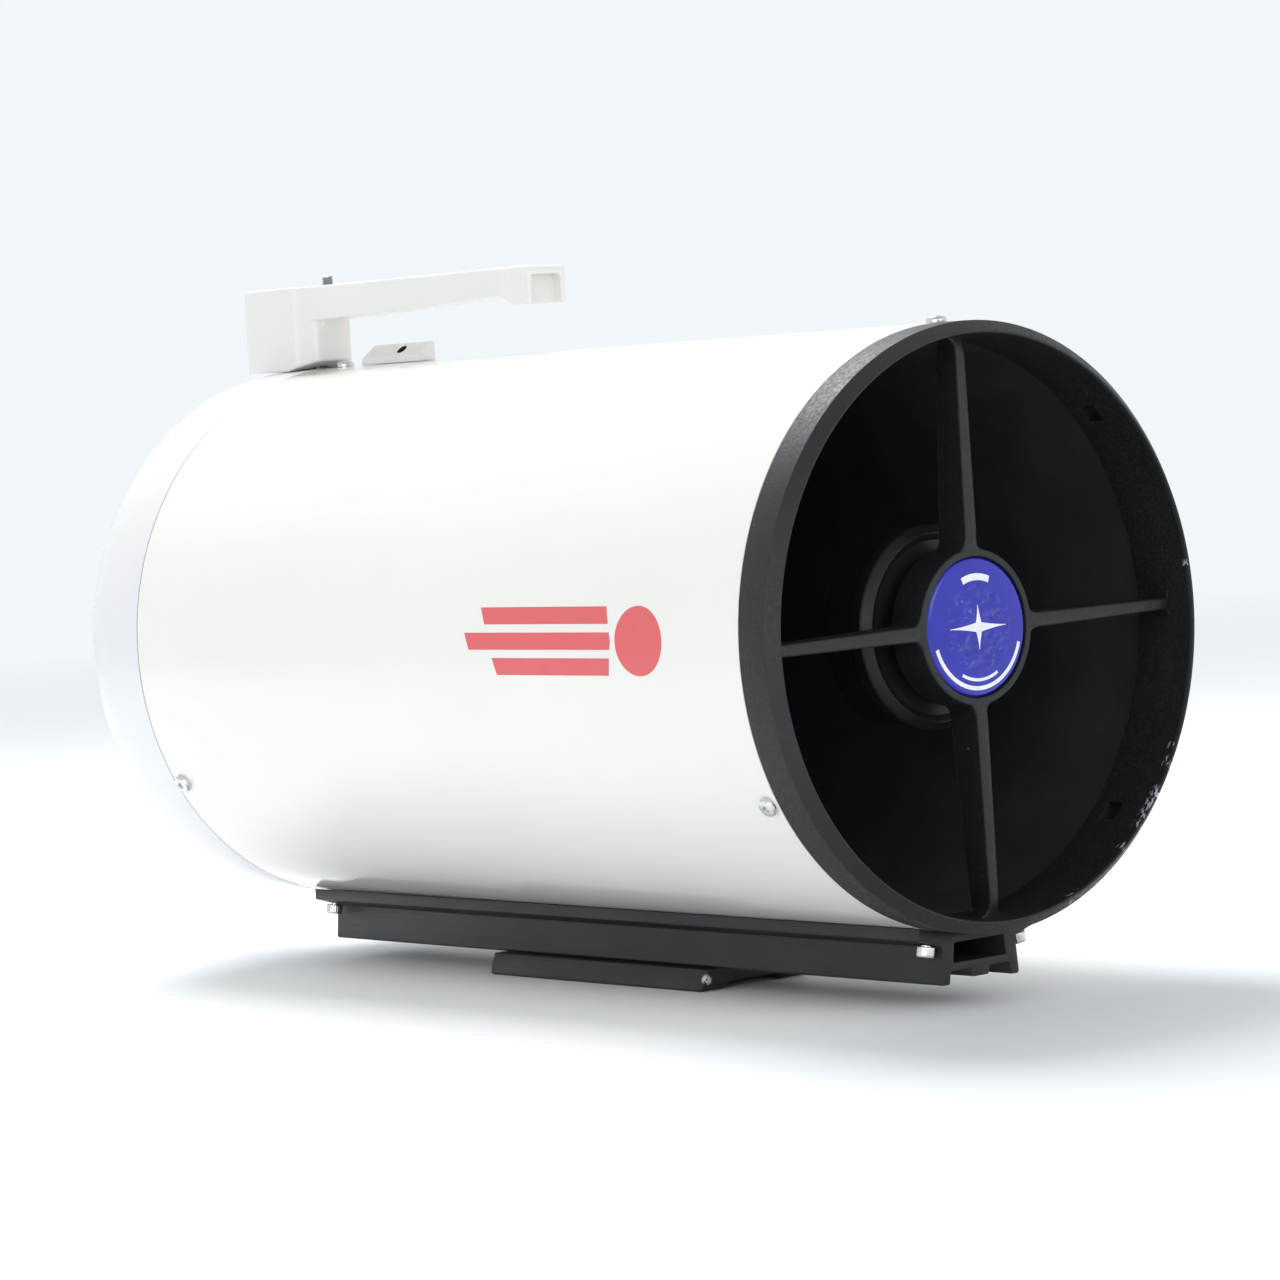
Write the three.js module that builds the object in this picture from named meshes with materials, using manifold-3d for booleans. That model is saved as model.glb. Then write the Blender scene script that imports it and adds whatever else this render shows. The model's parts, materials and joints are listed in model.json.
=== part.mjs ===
// Maksutov-Cassegrain telescope tube: open-fronted tube, one-piece spider ring, moving primary mirror.
// Millimetres, +Z up. The optical axis runs along Y and the open front faces -Y.
// Inside the model group, y = 0 is the front end of the tube and z = 0 is the optical axis.
import * as THREE from 'three';
import { mergeVertices } from 'three/addons/utils/BufferGeometryUtils.js';
import Module from 'manifold-3d';

const wasm = await Module();
wasm.setup();

// ---- Driving dimensions ----
const GAP = 0.3;                // between parts that touch
const ROUND = 56;               // facets round the large circles
const MEDIUM_ROUND = 36;        // facets round the hub, the cells and the baffle
const SMALL_ROUND = 24;         // facets round shafts and bushes
const TUBE_RADIUS = 116;
const TUBE_WALL = 1.6;
const TUBE_LENGTH = 378;
const SPIGOT_RADIUS = TUBE_RADIUS - TUBE_WALL - GAP;
const SPIGOT_LENGTH = 10;       // how far the ring and the rear cell reach into the tube

const LIP_Y = -17.9;            // front edge of the ring
const CREASE_Y = -13.8;         // where the ring's bevel starts
const LIP_RADIUS = 111.2;
const RING_BORE = 109.5;

const HUB_RADIUS = 30;
const HUB_FRONT_Y = -8;
const HUB_REAR_Y = 8;
const BADGE_SEAT_RADIUS = 26.8;
const BADGE_SEAT_Y = -5.7;
const HUB_CAVITY_RADIUS = 24;
const HUB_FLOOR_Y = 2;

const VANE_FRONT_Y = -8.4;
const VANE_HALF_AT_HUB = 2.9;          // half of a vane's thickness
const VANE_HALF_AT_RIM = 2.1;
const VANE_TURN = 0.8;                 // the vanes sit a little round from square
const VANE_REAR_AT_HUB = 7;
const VANE_REAR_AT_RIM = 2.4;
const VANE_FILLET = 4;
const CORNERS = [45, 135, 225, 315];   // pockets in the ring, halfway between the vanes

const SCREW_ANGLES = [90, 210, 330];   // tube screws, seen from the front, degrees from +X
const FRONT_SCREW_Y = 5;
const REAR_SCREW_Y = TUBE_LENGTH - 6;

const CELL_RADIUS = 39.5;              // secondary cell
const CELL_FRONT_Y = 11.7;
const CELL_FLANGE_Y = 20.3;
const CELL_REAR_Y = 36;
const COLLIMATION_CIRCLE = 15;
const COLLIMATION_ANGLES = [0, 120, 240];
const COLLIMATION_HOLE_RADIUS = 2.3;
const CENTRE_BOLT_HOLE_RADIUS = 3.4;
const CELL_LINING_RADIUS = 36.7;       // spacer, lens and retainer stack inside the cell
const LENS_FRONT_CURVE = 160;
const LENS_REAR_CURVE = 165;
const SECONDARY_CURVE = 180;

const REAR_CYLINDER_Y = 412;           // end of the rear cell's straight wall
const REAR_FACE_Y = 424;
const BOSS_Y = 432;
const BOSS_RADIUS = 44;

const MIRROR_RADIUS = 100;
const MIRROR_HOLE = 30;
const MIRROR_FRONT_Y = 338;
const MIRROR_REAR_Y = 361;
const MIRROR_CURVE_RADIUS = 1000;
const BAFFLE_RADIUS = 21.5;
const BAFFLE_FRONT_Y = 165;
const BAFFLE_BORE = 19.8;
const RUNNING_FIT = 0.08;              // radial clearance where parts slide or turn
const SLEEVE_BORE = BAFFLE_RADIUS + RUNNING_FIT;
const SLEEVE_RADIUS = 28;

const FOCUS_X = -60;                   // focus screw, beside the axis
const FOCUS_SCREW_RADIUS = 3;
const FOCUS_SCREW_TIP_Y = 380;
const FOCUS_NUT_Y = 388;
const FOCUS_PAD_Y = 427;               // raised pad on the rear cell that carries the bush
const BUSH_SCREW_CIRCLE = 11;
const BUSH_SCREW_ANGLES = [90, 210, 330];
const KNOB_RADIUS = 16.5;
const KNOB_GROOVES = 16;
const SMALL_SCREW_RADIUS = 1.5;        // shanks of the M3 screws
const BOLT_RADIUS = 3;                 // shanks of the M6 bolts

const RAIL_LENGTH = 375;
const RAIL_WING = 31.8;
const RAIL_BOTTOM_Z = -134.8;
const RAIL_BOLT_X = 24;
const RAIL_BOLT_INSET = 4;

const PLATE_FRONT_Y = 127;
const PLATE_LENGTH = 134;
const PLATE_TOP_Z = RAIL_BOTTOM_Z - GAP;
const PLATE_BOTTOM_Z = -143.8;
const PLATE_BOLT_INSET = 30;

const HANDLE_FRONT_Y = 231.5;
const HANDLE_REAR_Y = 423.5;
const HANDLE_TOP_Z = 152.3;
const HANDLE_BLOCK_HALF = 15;
const HANDLE_POST_HALF = 10.4;
const HANDLE_POST_Y = 378.6;           // front of the post
const HANDLE_TOE_Z = 119.3;            // the post stops clear of the tube in front of its block
const HANDLE_ARM_HALF = 8.3;
const HANDLE_END_HALF = 10.3;
const HANDLE_BOLT_Y = [391, 402];
const STUD_Y = 381;
const STUD_RADIUS = 2.5;
const STUD_HEIGHT = 4.3;               // above the top of the handle

const SHOE_FRONT_Y = 314.5;            // small block on top of the tube
const SHOE_LENGTH = 39;
const SHOE_HALF = 5;
const SHOE_TOP_Z = 124.4;
const SHOE_SCREW_INSET = 9;

const ADAPTER_REAR_Y = 482;
const ADAPTER_BORE = 25.5;
const THUMBSCREW_Y = 470;
const THUMBSCREW_ANGLES = [45, 165];
const THUMB_TIP_RADIUS = 26.9;
const THUMB_SHANK_RADIUS = 2;

// ---- Materials ----
function material(color, roughness, metalness) {
  return new THREE.MeshStandardMaterial({ color, roughness, metalness });
}

const ivoryGloss = material(0xf1eee3, 0.15, 0.0);
const whitePaint = material(0xeef0f1, 0.25, 0.0);
const blackPaint = material(0x1f2022, 0.7, 0.0);
const blackAnodised = material(0x35373a, 0.45, 0.6);
const brightSteel = material(0xc9ccd0, 0.25, 1.0);
const blackSteel = material(0x28292b, 0.4, 0.9);
const brass = material(0xb8954a, 0.3, 1.0);
const glass = material(0xbcd2d8, 0.02, 0.0);
const mirrorCoat = material(0xe4e8ea, 0.03, 1.0);
const badgeBlue = material(0x3a3fb4, 0.2, 0.0);
const rubber = material(0x1b1b1c, 0.85, 0.0);

// ---- Solids ----
function manifoldOf(geometry) {
  const plain = geometry.clone();
  plain.deleteAttribute('normal');
  plain.deleteAttribute('uv');
  const merged = mergeVertices(plain, 1e-4);
  const vertProperties = new Float32Array(merged.attributes.position.array);
  const triVerts = new Uint32Array(merged.index.array);
  const solid = new wasm.Manifold(new wasm.Mesh({ numProp: 3, vertProperties, triVerts }));
  return solid.volume() < 0 ? flipped(vertProperties, triVerts) : solid;
}

function flipped(vertProperties, triVerts) {
  const turned = triVerts.slice();
  for (let i = 0; i < turned.length; i += 3) {
    turned[i + 1] = triVerts[i + 2];
    turned[i + 2] = triVerts[i + 1];
  }
  return new wasm.Manifold(new wasm.Mesh({ numProp: 3, vertProperties, triVerts: turned }));
}

function geometryOf(solid) {
  const mesh = solid.getMesh();
  const geometry = new THREE.BufferGeometry();
  geometry.setAttribute('position', new THREE.BufferAttribute(mesh.vertProperties, 3));
  geometry.setIndex(new THREE.BufferAttribute(mesh.triVerts, 1));
  geometry.computeVertexNormals();
  return geometry;
}

// Turned about Y. Each point is [radius, y], and the outline closes on itself or on the axis.
function turned(outline, segments = ROUND) {
  const points = outline.map(([radius, y]) => new THREE.Vector2(radius, y));
  if (outline[0][0] > 0) {
    points.push(points[0].clone());
  }
  return manifoldOf(new THREE.LatheGeometry(points, segments));
}

function shapeOf(points) {
  return new THREE.Shape(points.map(([u, v]) => new THREE.Vector2(u, v)));
}

function extruded(points, depth, basis) {
  const geometry = new THREE.ExtrudeGeometry(shapeOf(points), { depth, bevelEnabled: false });
  geometry.applyMatrix4(basis);
  return manifoldOf(geometry);
}

const axisX = new THREE.Vector3(1, 0, 0);
const axisY = new THREE.Vector3(0, 1, 0);
const axisZ = new THREE.Vector3(0, 0, 1);

// Section points are [x, z], swept from y0 to y1.
function sweptAlongY(points, y0, y1) {
  const basis = new THREE.Matrix4().makeBasis(axisX, axisZ, axisY.clone().negate());
  basis.setPosition(0, y1, 0);
  return extruded(points, y1 - y0, basis);
}

// Section points are [y, z], swept from x0 to x1.
function sweptAlongX(points, x0, x1) {
  const basis = new THREE.Matrix4().makeBasis(axisY, axisZ, axisX);
  basis.setPosition(x0, 0, 0);
  return extruded(points, x1 - x0, basis);
}

// Plan points are [x, y], swept from z0 to z1.
function sweptAlongZ(points, z0, z1) {
  const basis = new THREE.Matrix4().makeTranslation(0, 0, z0);
  return extruded(points, z1 - z0, basis);
}

function box(width, depth, height, x, y, z) {
  const geometry = new THREE.BoxGeometry(width, depth, height);
  geometry.translate(x, y, z);
  return manifoldOf(geometry);
}

// A round pin along Y between y0 and y1.
function pinAlongY(radius, y0, y1, x = 0, z = 0, segments = 12) {
  const geometry = new THREE.CylinderGeometry(radius, radius, y1 - y0, segments);
  geometry.translate(x, (y0 + y1) / 2, z);
  return manifoldOf(geometry);
}

// A round pin pointing out from the optical axis at an angle in the XZ plane.
function radialPin(radius, r0, r1, angleDeg, y, segments = 10) {
  const geometry = new THREE.CylinderGeometry(radius, radius, r1 - r0, segments);
  geometry.rotateX(Math.PI / 2);
  geometry.rotateY(Math.PI / 2);
  geometry.translate((r0 + r1) / 2, 0, 0);
  geometry.rotateY(-THREE.MathUtils.degToRad(angleDeg));
  geometry.translate(0, y, 0);
  return manifoldOf(geometry);
}

function verticalPin(radius, x, y, z0, z1, segments = 12) {
  const geometry = new THREE.CylinderGeometry(radius, radius, z1 - z0, segments);
  geometry.rotateX(Math.PI / 2);
  geometry.translate(x, y, (z0 + z1) / 2);
  return manifoldOf(geometry);
}

function subtractAll(solid, cutters) {
  return cutters.reduce((rest, cutter) => rest.subtract(cutter), solid);
}

// Points of an arc, both ends included.
function arc(centreU, centreV, radius, startDeg, endDeg, steps) {
  const points = [];
  for (let i = 0; i <= steps; i += 1) {
    const angle = THREE.MathUtils.degToRad(startDeg + (endDeg - startDeg) * i / steps);
    points.push([centreU + radius * Math.cos(angle), centreV + radius * Math.sin(angle)]);
  }
  return points;
}

const telescope = new THREE.Group();

function addPart(name, solid, surface) {
  const mesh = new THREE.Mesh(geometryOf(solid), surface);
  mesh.name = name;
  telescope.add(mesh);
  return mesh;
}

// ---- Fasteners: turned about their own Y axis, head at the top, underside of the head at y = 0 ----
function screwSolid(headRadius, headHeight, shankRadius, shankLength, segments = 12) {
  const crown = headHeight * 0.35;
  return turned([
    [0, -shankLength],
    [shankRadius, -shankLength],
    [shankRadius, 0],
    [headRadius, 0],
    [headRadius, headHeight - crown],
    [headRadius * 0.8, headHeight],
    [0, headHeight],
  ], segments);
}

function crossRecess(headHeight, reach) {
  const width = reach * 0.32;
  const depth = headHeight * 1.2;
  const along = box(reach * 2, depth, width, 0, headHeight, 0);
  return along.add(box(width, depth, reach * 2, 0, headHeight, 0));
}

function hexRecess(headHeight, reach) {
  return pinAlongY(reach, headHeight * 0.45, headHeight + 1, 0, 0, 6);
}

// Puts a fastener with its head facing outwards at an angle round the optical axis.
function placeRadially(mesh, radius, angleDeg, y) {
  const angle = THREE.MathUtils.degToRad(angleDeg);
  const outward = new THREE.Vector3(Math.cos(angle), 0, Math.sin(angle));
  mesh.quaternion.setFromUnitVectors(axisY, outward);
  mesh.position.copy(outward).multiplyScalar(radius);
  mesh.position.y = y;
}

const TUBE_SCREW = { head: 4, height: 2.6, shank: 1.9, length: 7 };
const RAIL_BOLT = { head: 3.5, height: 4, shank: 2, length: 9 };
const TUBE_SCREW_HOLE = TUBE_SCREW.shank + GAP;
const RAIL_BOLT_HOLE = RAIL_BOLT.shank + GAP;
const SMALL_SCREW_HOLE = SMALL_SCREW_RADIUS + GAP;
const BOLT_HOLE = BOLT_RADIUS + GAP;

function radialHoles(angles, y, radius) {
  return angles.map((angle) => radialPin(radius, 100, 125, angle, y));
}

const railBoltAngle = THREE.MathUtils.radToDeg(Math.atan2(RAIL_BOLT_X, 120));
const railBoltAngles = [-90 - railBoltAngle, -90 + railBoltAngle];
const railBoltRows = [
  { row: 'front', y: RAIL_BOLT_INSET },
  { row: 'rear', y: RAIL_LENGTH - RAIL_BOLT_INSET },
];
const shoeScrewRows = [
  { row: 'front', y: SHOE_FRONT_Y + SHOE_SCREW_INSET },
  { row: 'rear', y: SHOE_FRONT_Y + SHOE_LENGTH - SHOE_SCREW_INSET },
];

// ---- Tube ----
function makeTube() {
  const shell = turned([
    [TUBE_RADIUS - TUBE_WALL, 0],
    [TUBE_RADIUS, 0],
    [TUBE_RADIUS, TUBE_LENGTH],
    [TUBE_RADIUS - TUBE_WALL, TUBE_LENGTH],
  ]);
  const holes = [
    ...radialHoles(SCREW_ANGLES, FRONT_SCREW_Y, TUBE_SCREW_HOLE),
    ...radialHoles(SCREW_ANGLES, REAR_SCREW_Y, TUBE_SCREW_HOLE),
    ...railBoltRows.flatMap(({ y }) => radialHoles(railBoltAngles, y, RAIL_BOLT_HOLE)),
    ...shoeScrewRows.flatMap(({ y }) => radialHoles([90], y, SMALL_SCREW_HOLE)),
  ];
  addPart('main_tube', subtractAll(shell, holes), ivoryGloss);
}

// ---- Front ring: outer ring, four vanes and the hub are one casting ----
function vaneSolid() {
  const inner = BADGE_SEAT_RADIUS + 0.6;
  const outer = RING_BORE + 2.5;
  const flare = VANE_FILLET;
  const hubEdge = HUB_RADIUS - 0.6;
  const rimEdge = RING_BORE + 0.6;
  const upper = [
    ...arc(rimEdge - flare, VANE_HALF_AT_RIM + flare, flare, -90, 0, 3),
    [outer, VANE_HALF_AT_RIM + flare],
  ];
  const plan = [
    [inner, VANE_HALF_AT_HUB + flare],
    ...arc(hubEdge + flare, VANE_HALF_AT_HUB + flare, flare, 180, 270, 3),
    ...upper,
  ];
  const mirrored = plan.map(([u, v]) => [u, -v]).reverse();
  const body = sweptAlongY([...plan, ...mirrored].reverse(), VANE_FRONT_Y, VANE_REAR_AT_HUB);
  const side = [
    [inner, HUB_FRONT_Y + 0.8],
    [HUB_RADIUS, HUB_FRONT_Y + 0.4],
    [HUB_RADIUS + 6, VANE_FRONT_Y],
    [outer, VANE_FRONT_Y],
    [outer, VANE_REAR_AT_RIM],
    [HUB_RADIUS + 2, VANE_REAR_AT_HUB],
    [inner, VANE_REAR_AT_HUB],
  ];
  return body.intersect(sweptAlongZ(side, -10, 10));
}

function makeFrontRing() {
  const ring = turned([
    [RING_BORE, SPIGOT_LENGTH],
    [SPIGOT_RADIUS, SPIGOT_LENGTH],
    [SPIGOT_RADIUS, -GAP],
    [TUBE_RADIUS, -GAP],
    [TUBE_RADIUS, CREASE_Y],
    [LIP_RADIUS + 1.2, LIP_Y + 0.3],
    [LIP_RADIUS + 0.6, LIP_Y],
    [LIP_RADIUS, LIP_Y + 0.3],
    [LIP_RADIUS - 0.5, LIP_Y + 2],
  ]);
  const hub = turned([
    [CENTRE_BOLT_HOLE_RADIUS, HUB_FLOOR_Y],
    [HUB_CAVITY_RADIUS, HUB_FLOOR_Y],
    [HUB_CAVITY_RADIUS, BADGE_SEAT_Y],
    [BADGE_SEAT_RADIUS, BADGE_SEAT_Y],
    [BADGE_SEAT_RADIUS, HUB_FRONT_Y],
    [HUB_RADIUS - 1, HUB_FRONT_Y],
    [HUB_RADIUS, HUB_FRONT_Y + 1],
    [HUB_RADIUS, HUB_REAR_Y],
    [CENTRE_BOLT_HOLE_RADIUS, HUB_REAR_Y],
  ], MEDIUM_ROUND);
  let casting = ring.add(hub);
  for (let quarter = 0; quarter < 4; quarter += 1) {
    casting = casting.add(vaneSolid().rotate([0, 90 * quarter - VANE_TURN, 0]));
  }
  const pockets = CORNERS.map((angle) => (
    box(8, 6, 10, RING_BORE + 1, 0.8, 0).rotate([0, angle, 0])
  ));
  const screwHoles = COLLIMATION_ANGLES.map((angle) => (
    pinAlongY(COLLIMATION_HOLE_RADIUS, HUB_FLOOR_Y - 1, HUB_REAR_Y + 1, COLLIMATION_CIRCLE)
      .rotate([0, angle, 0])
  ));
  const holes = [
    ...radialHoles(SCREW_ANGLES, FRONT_SCREW_Y, TUBE_SCREW_HOLE),
    ...radialHoles(railBoltAngles, RAIL_BOLT_INSET, RAIL_BOLT_HOLE),
    ...pockets,
    ...screwHoles,
  ];
  addPart('front_ring', subtractAll(casting, holes), blackPaint);
}

// ---- Secondary mirror assembly behind the hub ----
function makeSecondary() {
  const badge = turned([
    [0, BADGE_SEAT_Y - GAP],
    [BADGE_SEAT_RADIUS - GAP, BADGE_SEAT_Y - GAP],
    [BADGE_SEAT_RADIUS - GAP, BADGE_SEAT_Y - 1.3],
    [24.5, BADGE_SEAT_Y - 1.9],
    [16, BADGE_SEAT_Y - 2.5],
    [0, BADGE_SEAT_Y - 2.9],
  ], MEDIUM_ROUND);
  addPart('secondary_badge', badge, badgeBlue);

  const cellHoles = COLLIMATION_ANGLES.map((angle) => (
    pinAlongY(COLLIMATION_HOLE_RADIUS, 10, 20, COLLIMATION_CIRCLE).rotate([0, angle, 0])
  ));
  const cell = turned([
    [CENTRE_BOLT_HOLE_RADIUS, 13.5],
    [33.5, 13.5],
    [36.3, CELL_FRONT_Y],
    [39, 14.9],
    [CELL_RADIUS, 15.5],
    [CELL_RADIUS, CELL_FLANGE_Y],
    [38.4, CELL_FLANGE_Y + 0.6],
    [38.4, CELL_REAR_Y],
    [37, CELL_REAR_Y],
    [37, 16.8],
    [CENTRE_BOLT_HOLE_RADIUS, 16.8],
  ], MEDIUM_ROUND);
  addPart('secondary_cell', subtractAll(cell, cellHoles), blackAnodised);

  const mirror = turned([
    [0, 17.1],
    [30.6, 17.1],
    ...arc(0, 23.6 - SECONDARY_CURVE, SECONDARY_CURVE, 80.2, 90, 2),
  ], MEDIUM_ROUND);
  addPart('secondary_mirror', mirror, mirrorCoat);

  const spacer = turned([
    [31.2, 17.1],
    [CELL_LINING_RADIUS, 17.1],
    [CELL_LINING_RADIUS, 27.4],
    [34.4, 27.4],
    [34.4, 20.5],
    [31.2, 20.5],
  ], MEDIUM_ROUND);
  addPart('secondary_spacer', spacer, blackAnodised);

  // A meniscus lens: both faces bow towards the front of the telescope.
  const lens = turned([
    ...arc(0, 24.2 + LENS_FRONT_CURVE, LENS_FRONT_CURVE, -90, -76.8, 2),
    ...arc(0, 28.6 + LENS_REAR_CURVE, LENS_REAR_CURVE, -77.2, -90, 2),
  ].map(([r, y]) => [Math.max(r, 0), y]), MEDIUM_ROUND);
  addPart('corrector_lens', lens, glass);

  const retainer = turned([
    [33.5, 33.1],
    [CELL_LINING_RADIUS, 33.1],
    [CELL_LINING_RADIUS, CELL_REAR_Y],
    [34.6, CELL_REAR_Y],
  ], MEDIUM_ROUND);
  addPart('secondary_retainer', retainer, blackAnodised);

  // Three screws tilt the cell from inside the hub, and one bolt on the axis holds it.
  const towardsFront = axisY.clone().negate();
  COLLIMATION_ANGLES.forEach((angle, index) => {
    const solid = screwSolid(3.4, 3, 2, 13.5).subtract(hexRecess(3, 1.6));
    const mesh = addPart(`collimation_screw_${index + 1}`, solid, blackSteel);
    mesh.quaternion.setFromUnitVectors(axisY, towardsFront);
    const turn = THREE.MathUtils.degToRad(angle);
    const x = COLLIMATION_CIRCLE * Math.cos(turn);
    mesh.position.set(x, HUB_FLOOR_Y - GAP, COLLIMATION_CIRCLE * Math.sin(turn));
  });
  const centre = screwSolid(5, 3, BOLT_RADIUS, 14).subtract(hexRecess(3, 2.5));
  const bolt = addPart('secondary_centre_bolt', centre, blackSteel);
  bolt.quaternion.setFromUnitVectors(axisY, towardsFront);
  bolt.position.y = HUB_FLOOR_Y - GAP;
}

// ---- Screws round the tube ----
function makeTubeScrews() {
  const rows = [
    { part: 'front_ring_screw', y: FRONT_SCREW_Y },
    { part: 'rear_cell_screw', y: REAR_SCREW_Y },
  ];
  for (const { part, y } of rows) {
    SCREW_ANGLES.forEach((angle, index) => {
      const { head, height, shank, length } = TUBE_SCREW;
      const solid = screwSolid(head, height, shank, length).subtract(crossRecess(height, 2.3));
      const mesh = addPart(`${part}_${index + 1}`, solid, brightSteel);
      placeRadially(mesh, TUBE_RADIUS + GAP, angle, y);
    });
  }
}

function bushScrewPlaces() {
  return BUSH_SCREW_ANGLES.map((angle) => {
    const turn = THREE.MathUtils.degToRad(angle);
    return [BUSH_SCREW_CIRCLE * Math.cos(turn), BUSH_SCREW_CIRCLE * Math.sin(turn)];
  });
}

function bushScrewHoles(centreX) {
  return bushScrewPlaces().map(([x, z]) => (
    pinAlongY(SMALL_SCREW_HOLE, 420, 435, centreX + x, z, 10)
  ));
}

// ---- Rear cell: the white casting that closes the tube ----
function makeRearCell() {
  const cornerRadius = REAR_FACE_Y - REAR_CYLINDER_Y;
  const corner = arc(TUBE_RADIUS - cornerRadius, REAR_CYLINDER_Y, cornerRadius, 0, 90, 3);
  const shell = turned([
    [24, 418],
    [100, 418],
    [110, 408],
    [110, TUBE_LENGTH - SPIGOT_LENGTH - 2],
    [SPIGOT_RADIUS, TUBE_LENGTH - SPIGOT_LENGTH - 2],
    [SPIGOT_RADIUS, TUBE_LENGTH + GAP],
    [TUBE_RADIUS, TUBE_LENGTH + GAP],
    ...corner,
    [BOSS_RADIUS + 3, REAR_FACE_Y],
    [BOSS_RADIUS, REAR_FACE_Y + 2.5],
    [BOSS_RADIUS, BOSS_Y],
    [30.4, BOSS_Y],
    [30.4, REAR_FACE_Y],
    [24, REAR_FACE_Y],
  ]);
  const focusPad = pinAlongY(15, REAR_FACE_Y - 1, FOCUS_PAD_Y, FOCUS_X, 0, SMALL_ROUND);
  const focusHole = pinAlongY(6.3, 410, 435, FOCUS_X, 0, SMALL_ROUND);
  const holes = [
    focusHole,
    ...bushScrewHoles(FOCUS_X),
    ...radialHoles(SCREW_ANGLES, REAR_SCREW_Y, TUBE_SCREW_HOLE),
    ...radialHoles(railBoltAngles, RAIL_LENGTH - RAIL_BOLT_INSET, RAIL_BOLT_HOLE),
    ...HANDLE_BOLT_Y.map((y) => verticalPin(BOLT_HOLE, 0, y, 100, 120)),
  ];
  addPart('rear_cell', subtractAll(shell.add(focusPad), holes), whitePaint);
}

// ---- Primary mirror on its sliding carrier ----
function makePrimary() {
  const baffle = turned([
    [BAFFLE_BORE, BAFFLE_FRONT_Y],
    [BAFFLE_RADIUS, BAFFLE_FRONT_Y],
    [BAFFLE_RADIUS, REAR_FACE_Y + GAP],
    [30, REAR_FACE_Y + GAP],
    [30, REAR_FACE_Y + 3.5],
    [BAFFLE_BORE, REAR_FACE_Y + 3.5],
  ], MEDIUM_ROUND);
  addPart('baffle_tube', baffle, blackPaint);

  const sag = MIRROR_CURVE_RADIUS - Math.sqrt(MIRROR_CURVE_RADIUS ** 2 - MIRROR_RADIUS ** 2);
  const face = [];
  const steps = 3;
  for (let step = 0; step <= steps; step += 1) {
    const r = MIRROR_HOLE + (MIRROR_RADIUS - MIRROR_HOLE) * step / steps;
    face.push([r, MIRROR_FRONT_Y + sag * (1 - (r / MIRROR_RADIUS) ** 2)]);
  }
  const mirror = turned([
    ...face,
    [MIRROR_RADIUS, MIRROR_REAR_Y],
    [MIRROR_HOLE, MIRROR_REAR_Y],
  ], 48);
  addPart('primary_mirror', mirror, mirrorCoat);

  const pad = turned([
    [32, MIRROR_REAR_Y + GAP],
    [60, MIRROR_REAR_Y + GAP],
    [60, MIRROR_REAR_Y + 1.7],
    [32, MIRROR_REAR_Y + 1.7],
  ], MEDIUM_ROUND);
  addPart('mirror_pad', pad, rubber);

  const flangeY = MIRROR_REAR_Y + 2;
  const sleeve = turned([
    [SLEEVE_BORE, 328],
    [SLEEVE_RADIUS, 328],
    [SLEEVE_RADIUS, flangeY],
    [64, flangeY],
    [64, flangeY + 6],
    [SLEEVE_RADIUS + 4, flangeY + 8],
    [SLEEVE_RADIUS + 4, 400],
    [SLEEVE_BORE, 400],
  ], MEDIUM_ROUND);
  const arm = sweptAlongY([
    [-SLEEVE_RADIUS, -12],
    [-SLEEVE_RADIUS, 12],
    ...arc(FOCUS_X, 0, 10, 60, 300, 8),
  ], FOCUS_NUT_Y, FOCUS_NUT_Y + 7);
  const nutHole = pinAlongY(5.3, FOCUS_NUT_Y - 5, FOCUS_NUT_Y + 12, FOCUS_X, 0, SMALL_ROUND);
  addPart('mirror_carrier', sleeve.add(arm).subtract(nutHole), blackAnodised);

  const clampRing = turned([
    [SLEEVE_RADIUS + GAP, 332],
    [36, 332],
    [36, MIRROR_FRONT_Y + 3.6],
    [SLEEVE_RADIUS + GAP, MIRROR_FRONT_Y + 3.6],
  ], MEDIUM_ROUND);
  addPart('mirror_clamp_ring', clampRing, blackAnodised);

  const nut = turned([
    [FOCUS_SCREW_RADIUS + RUNNING_FIT, FOCUS_NUT_Y - 2.3],
    [8, FOCUS_NUT_Y - 2.3],
    [8, FOCUS_NUT_Y - GAP],
    [5, FOCUS_NUT_Y - GAP],
    [5, FOCUS_NUT_Y + 9],
    [FOCUS_SCREW_RADIUS + RUNNING_FIT, FOCUS_NUT_Y + 9],
  ], SMALL_ROUND);
  addPart('focus_nut', nut.translate([FOCUS_X, 0, 0]), brass);
}

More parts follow.
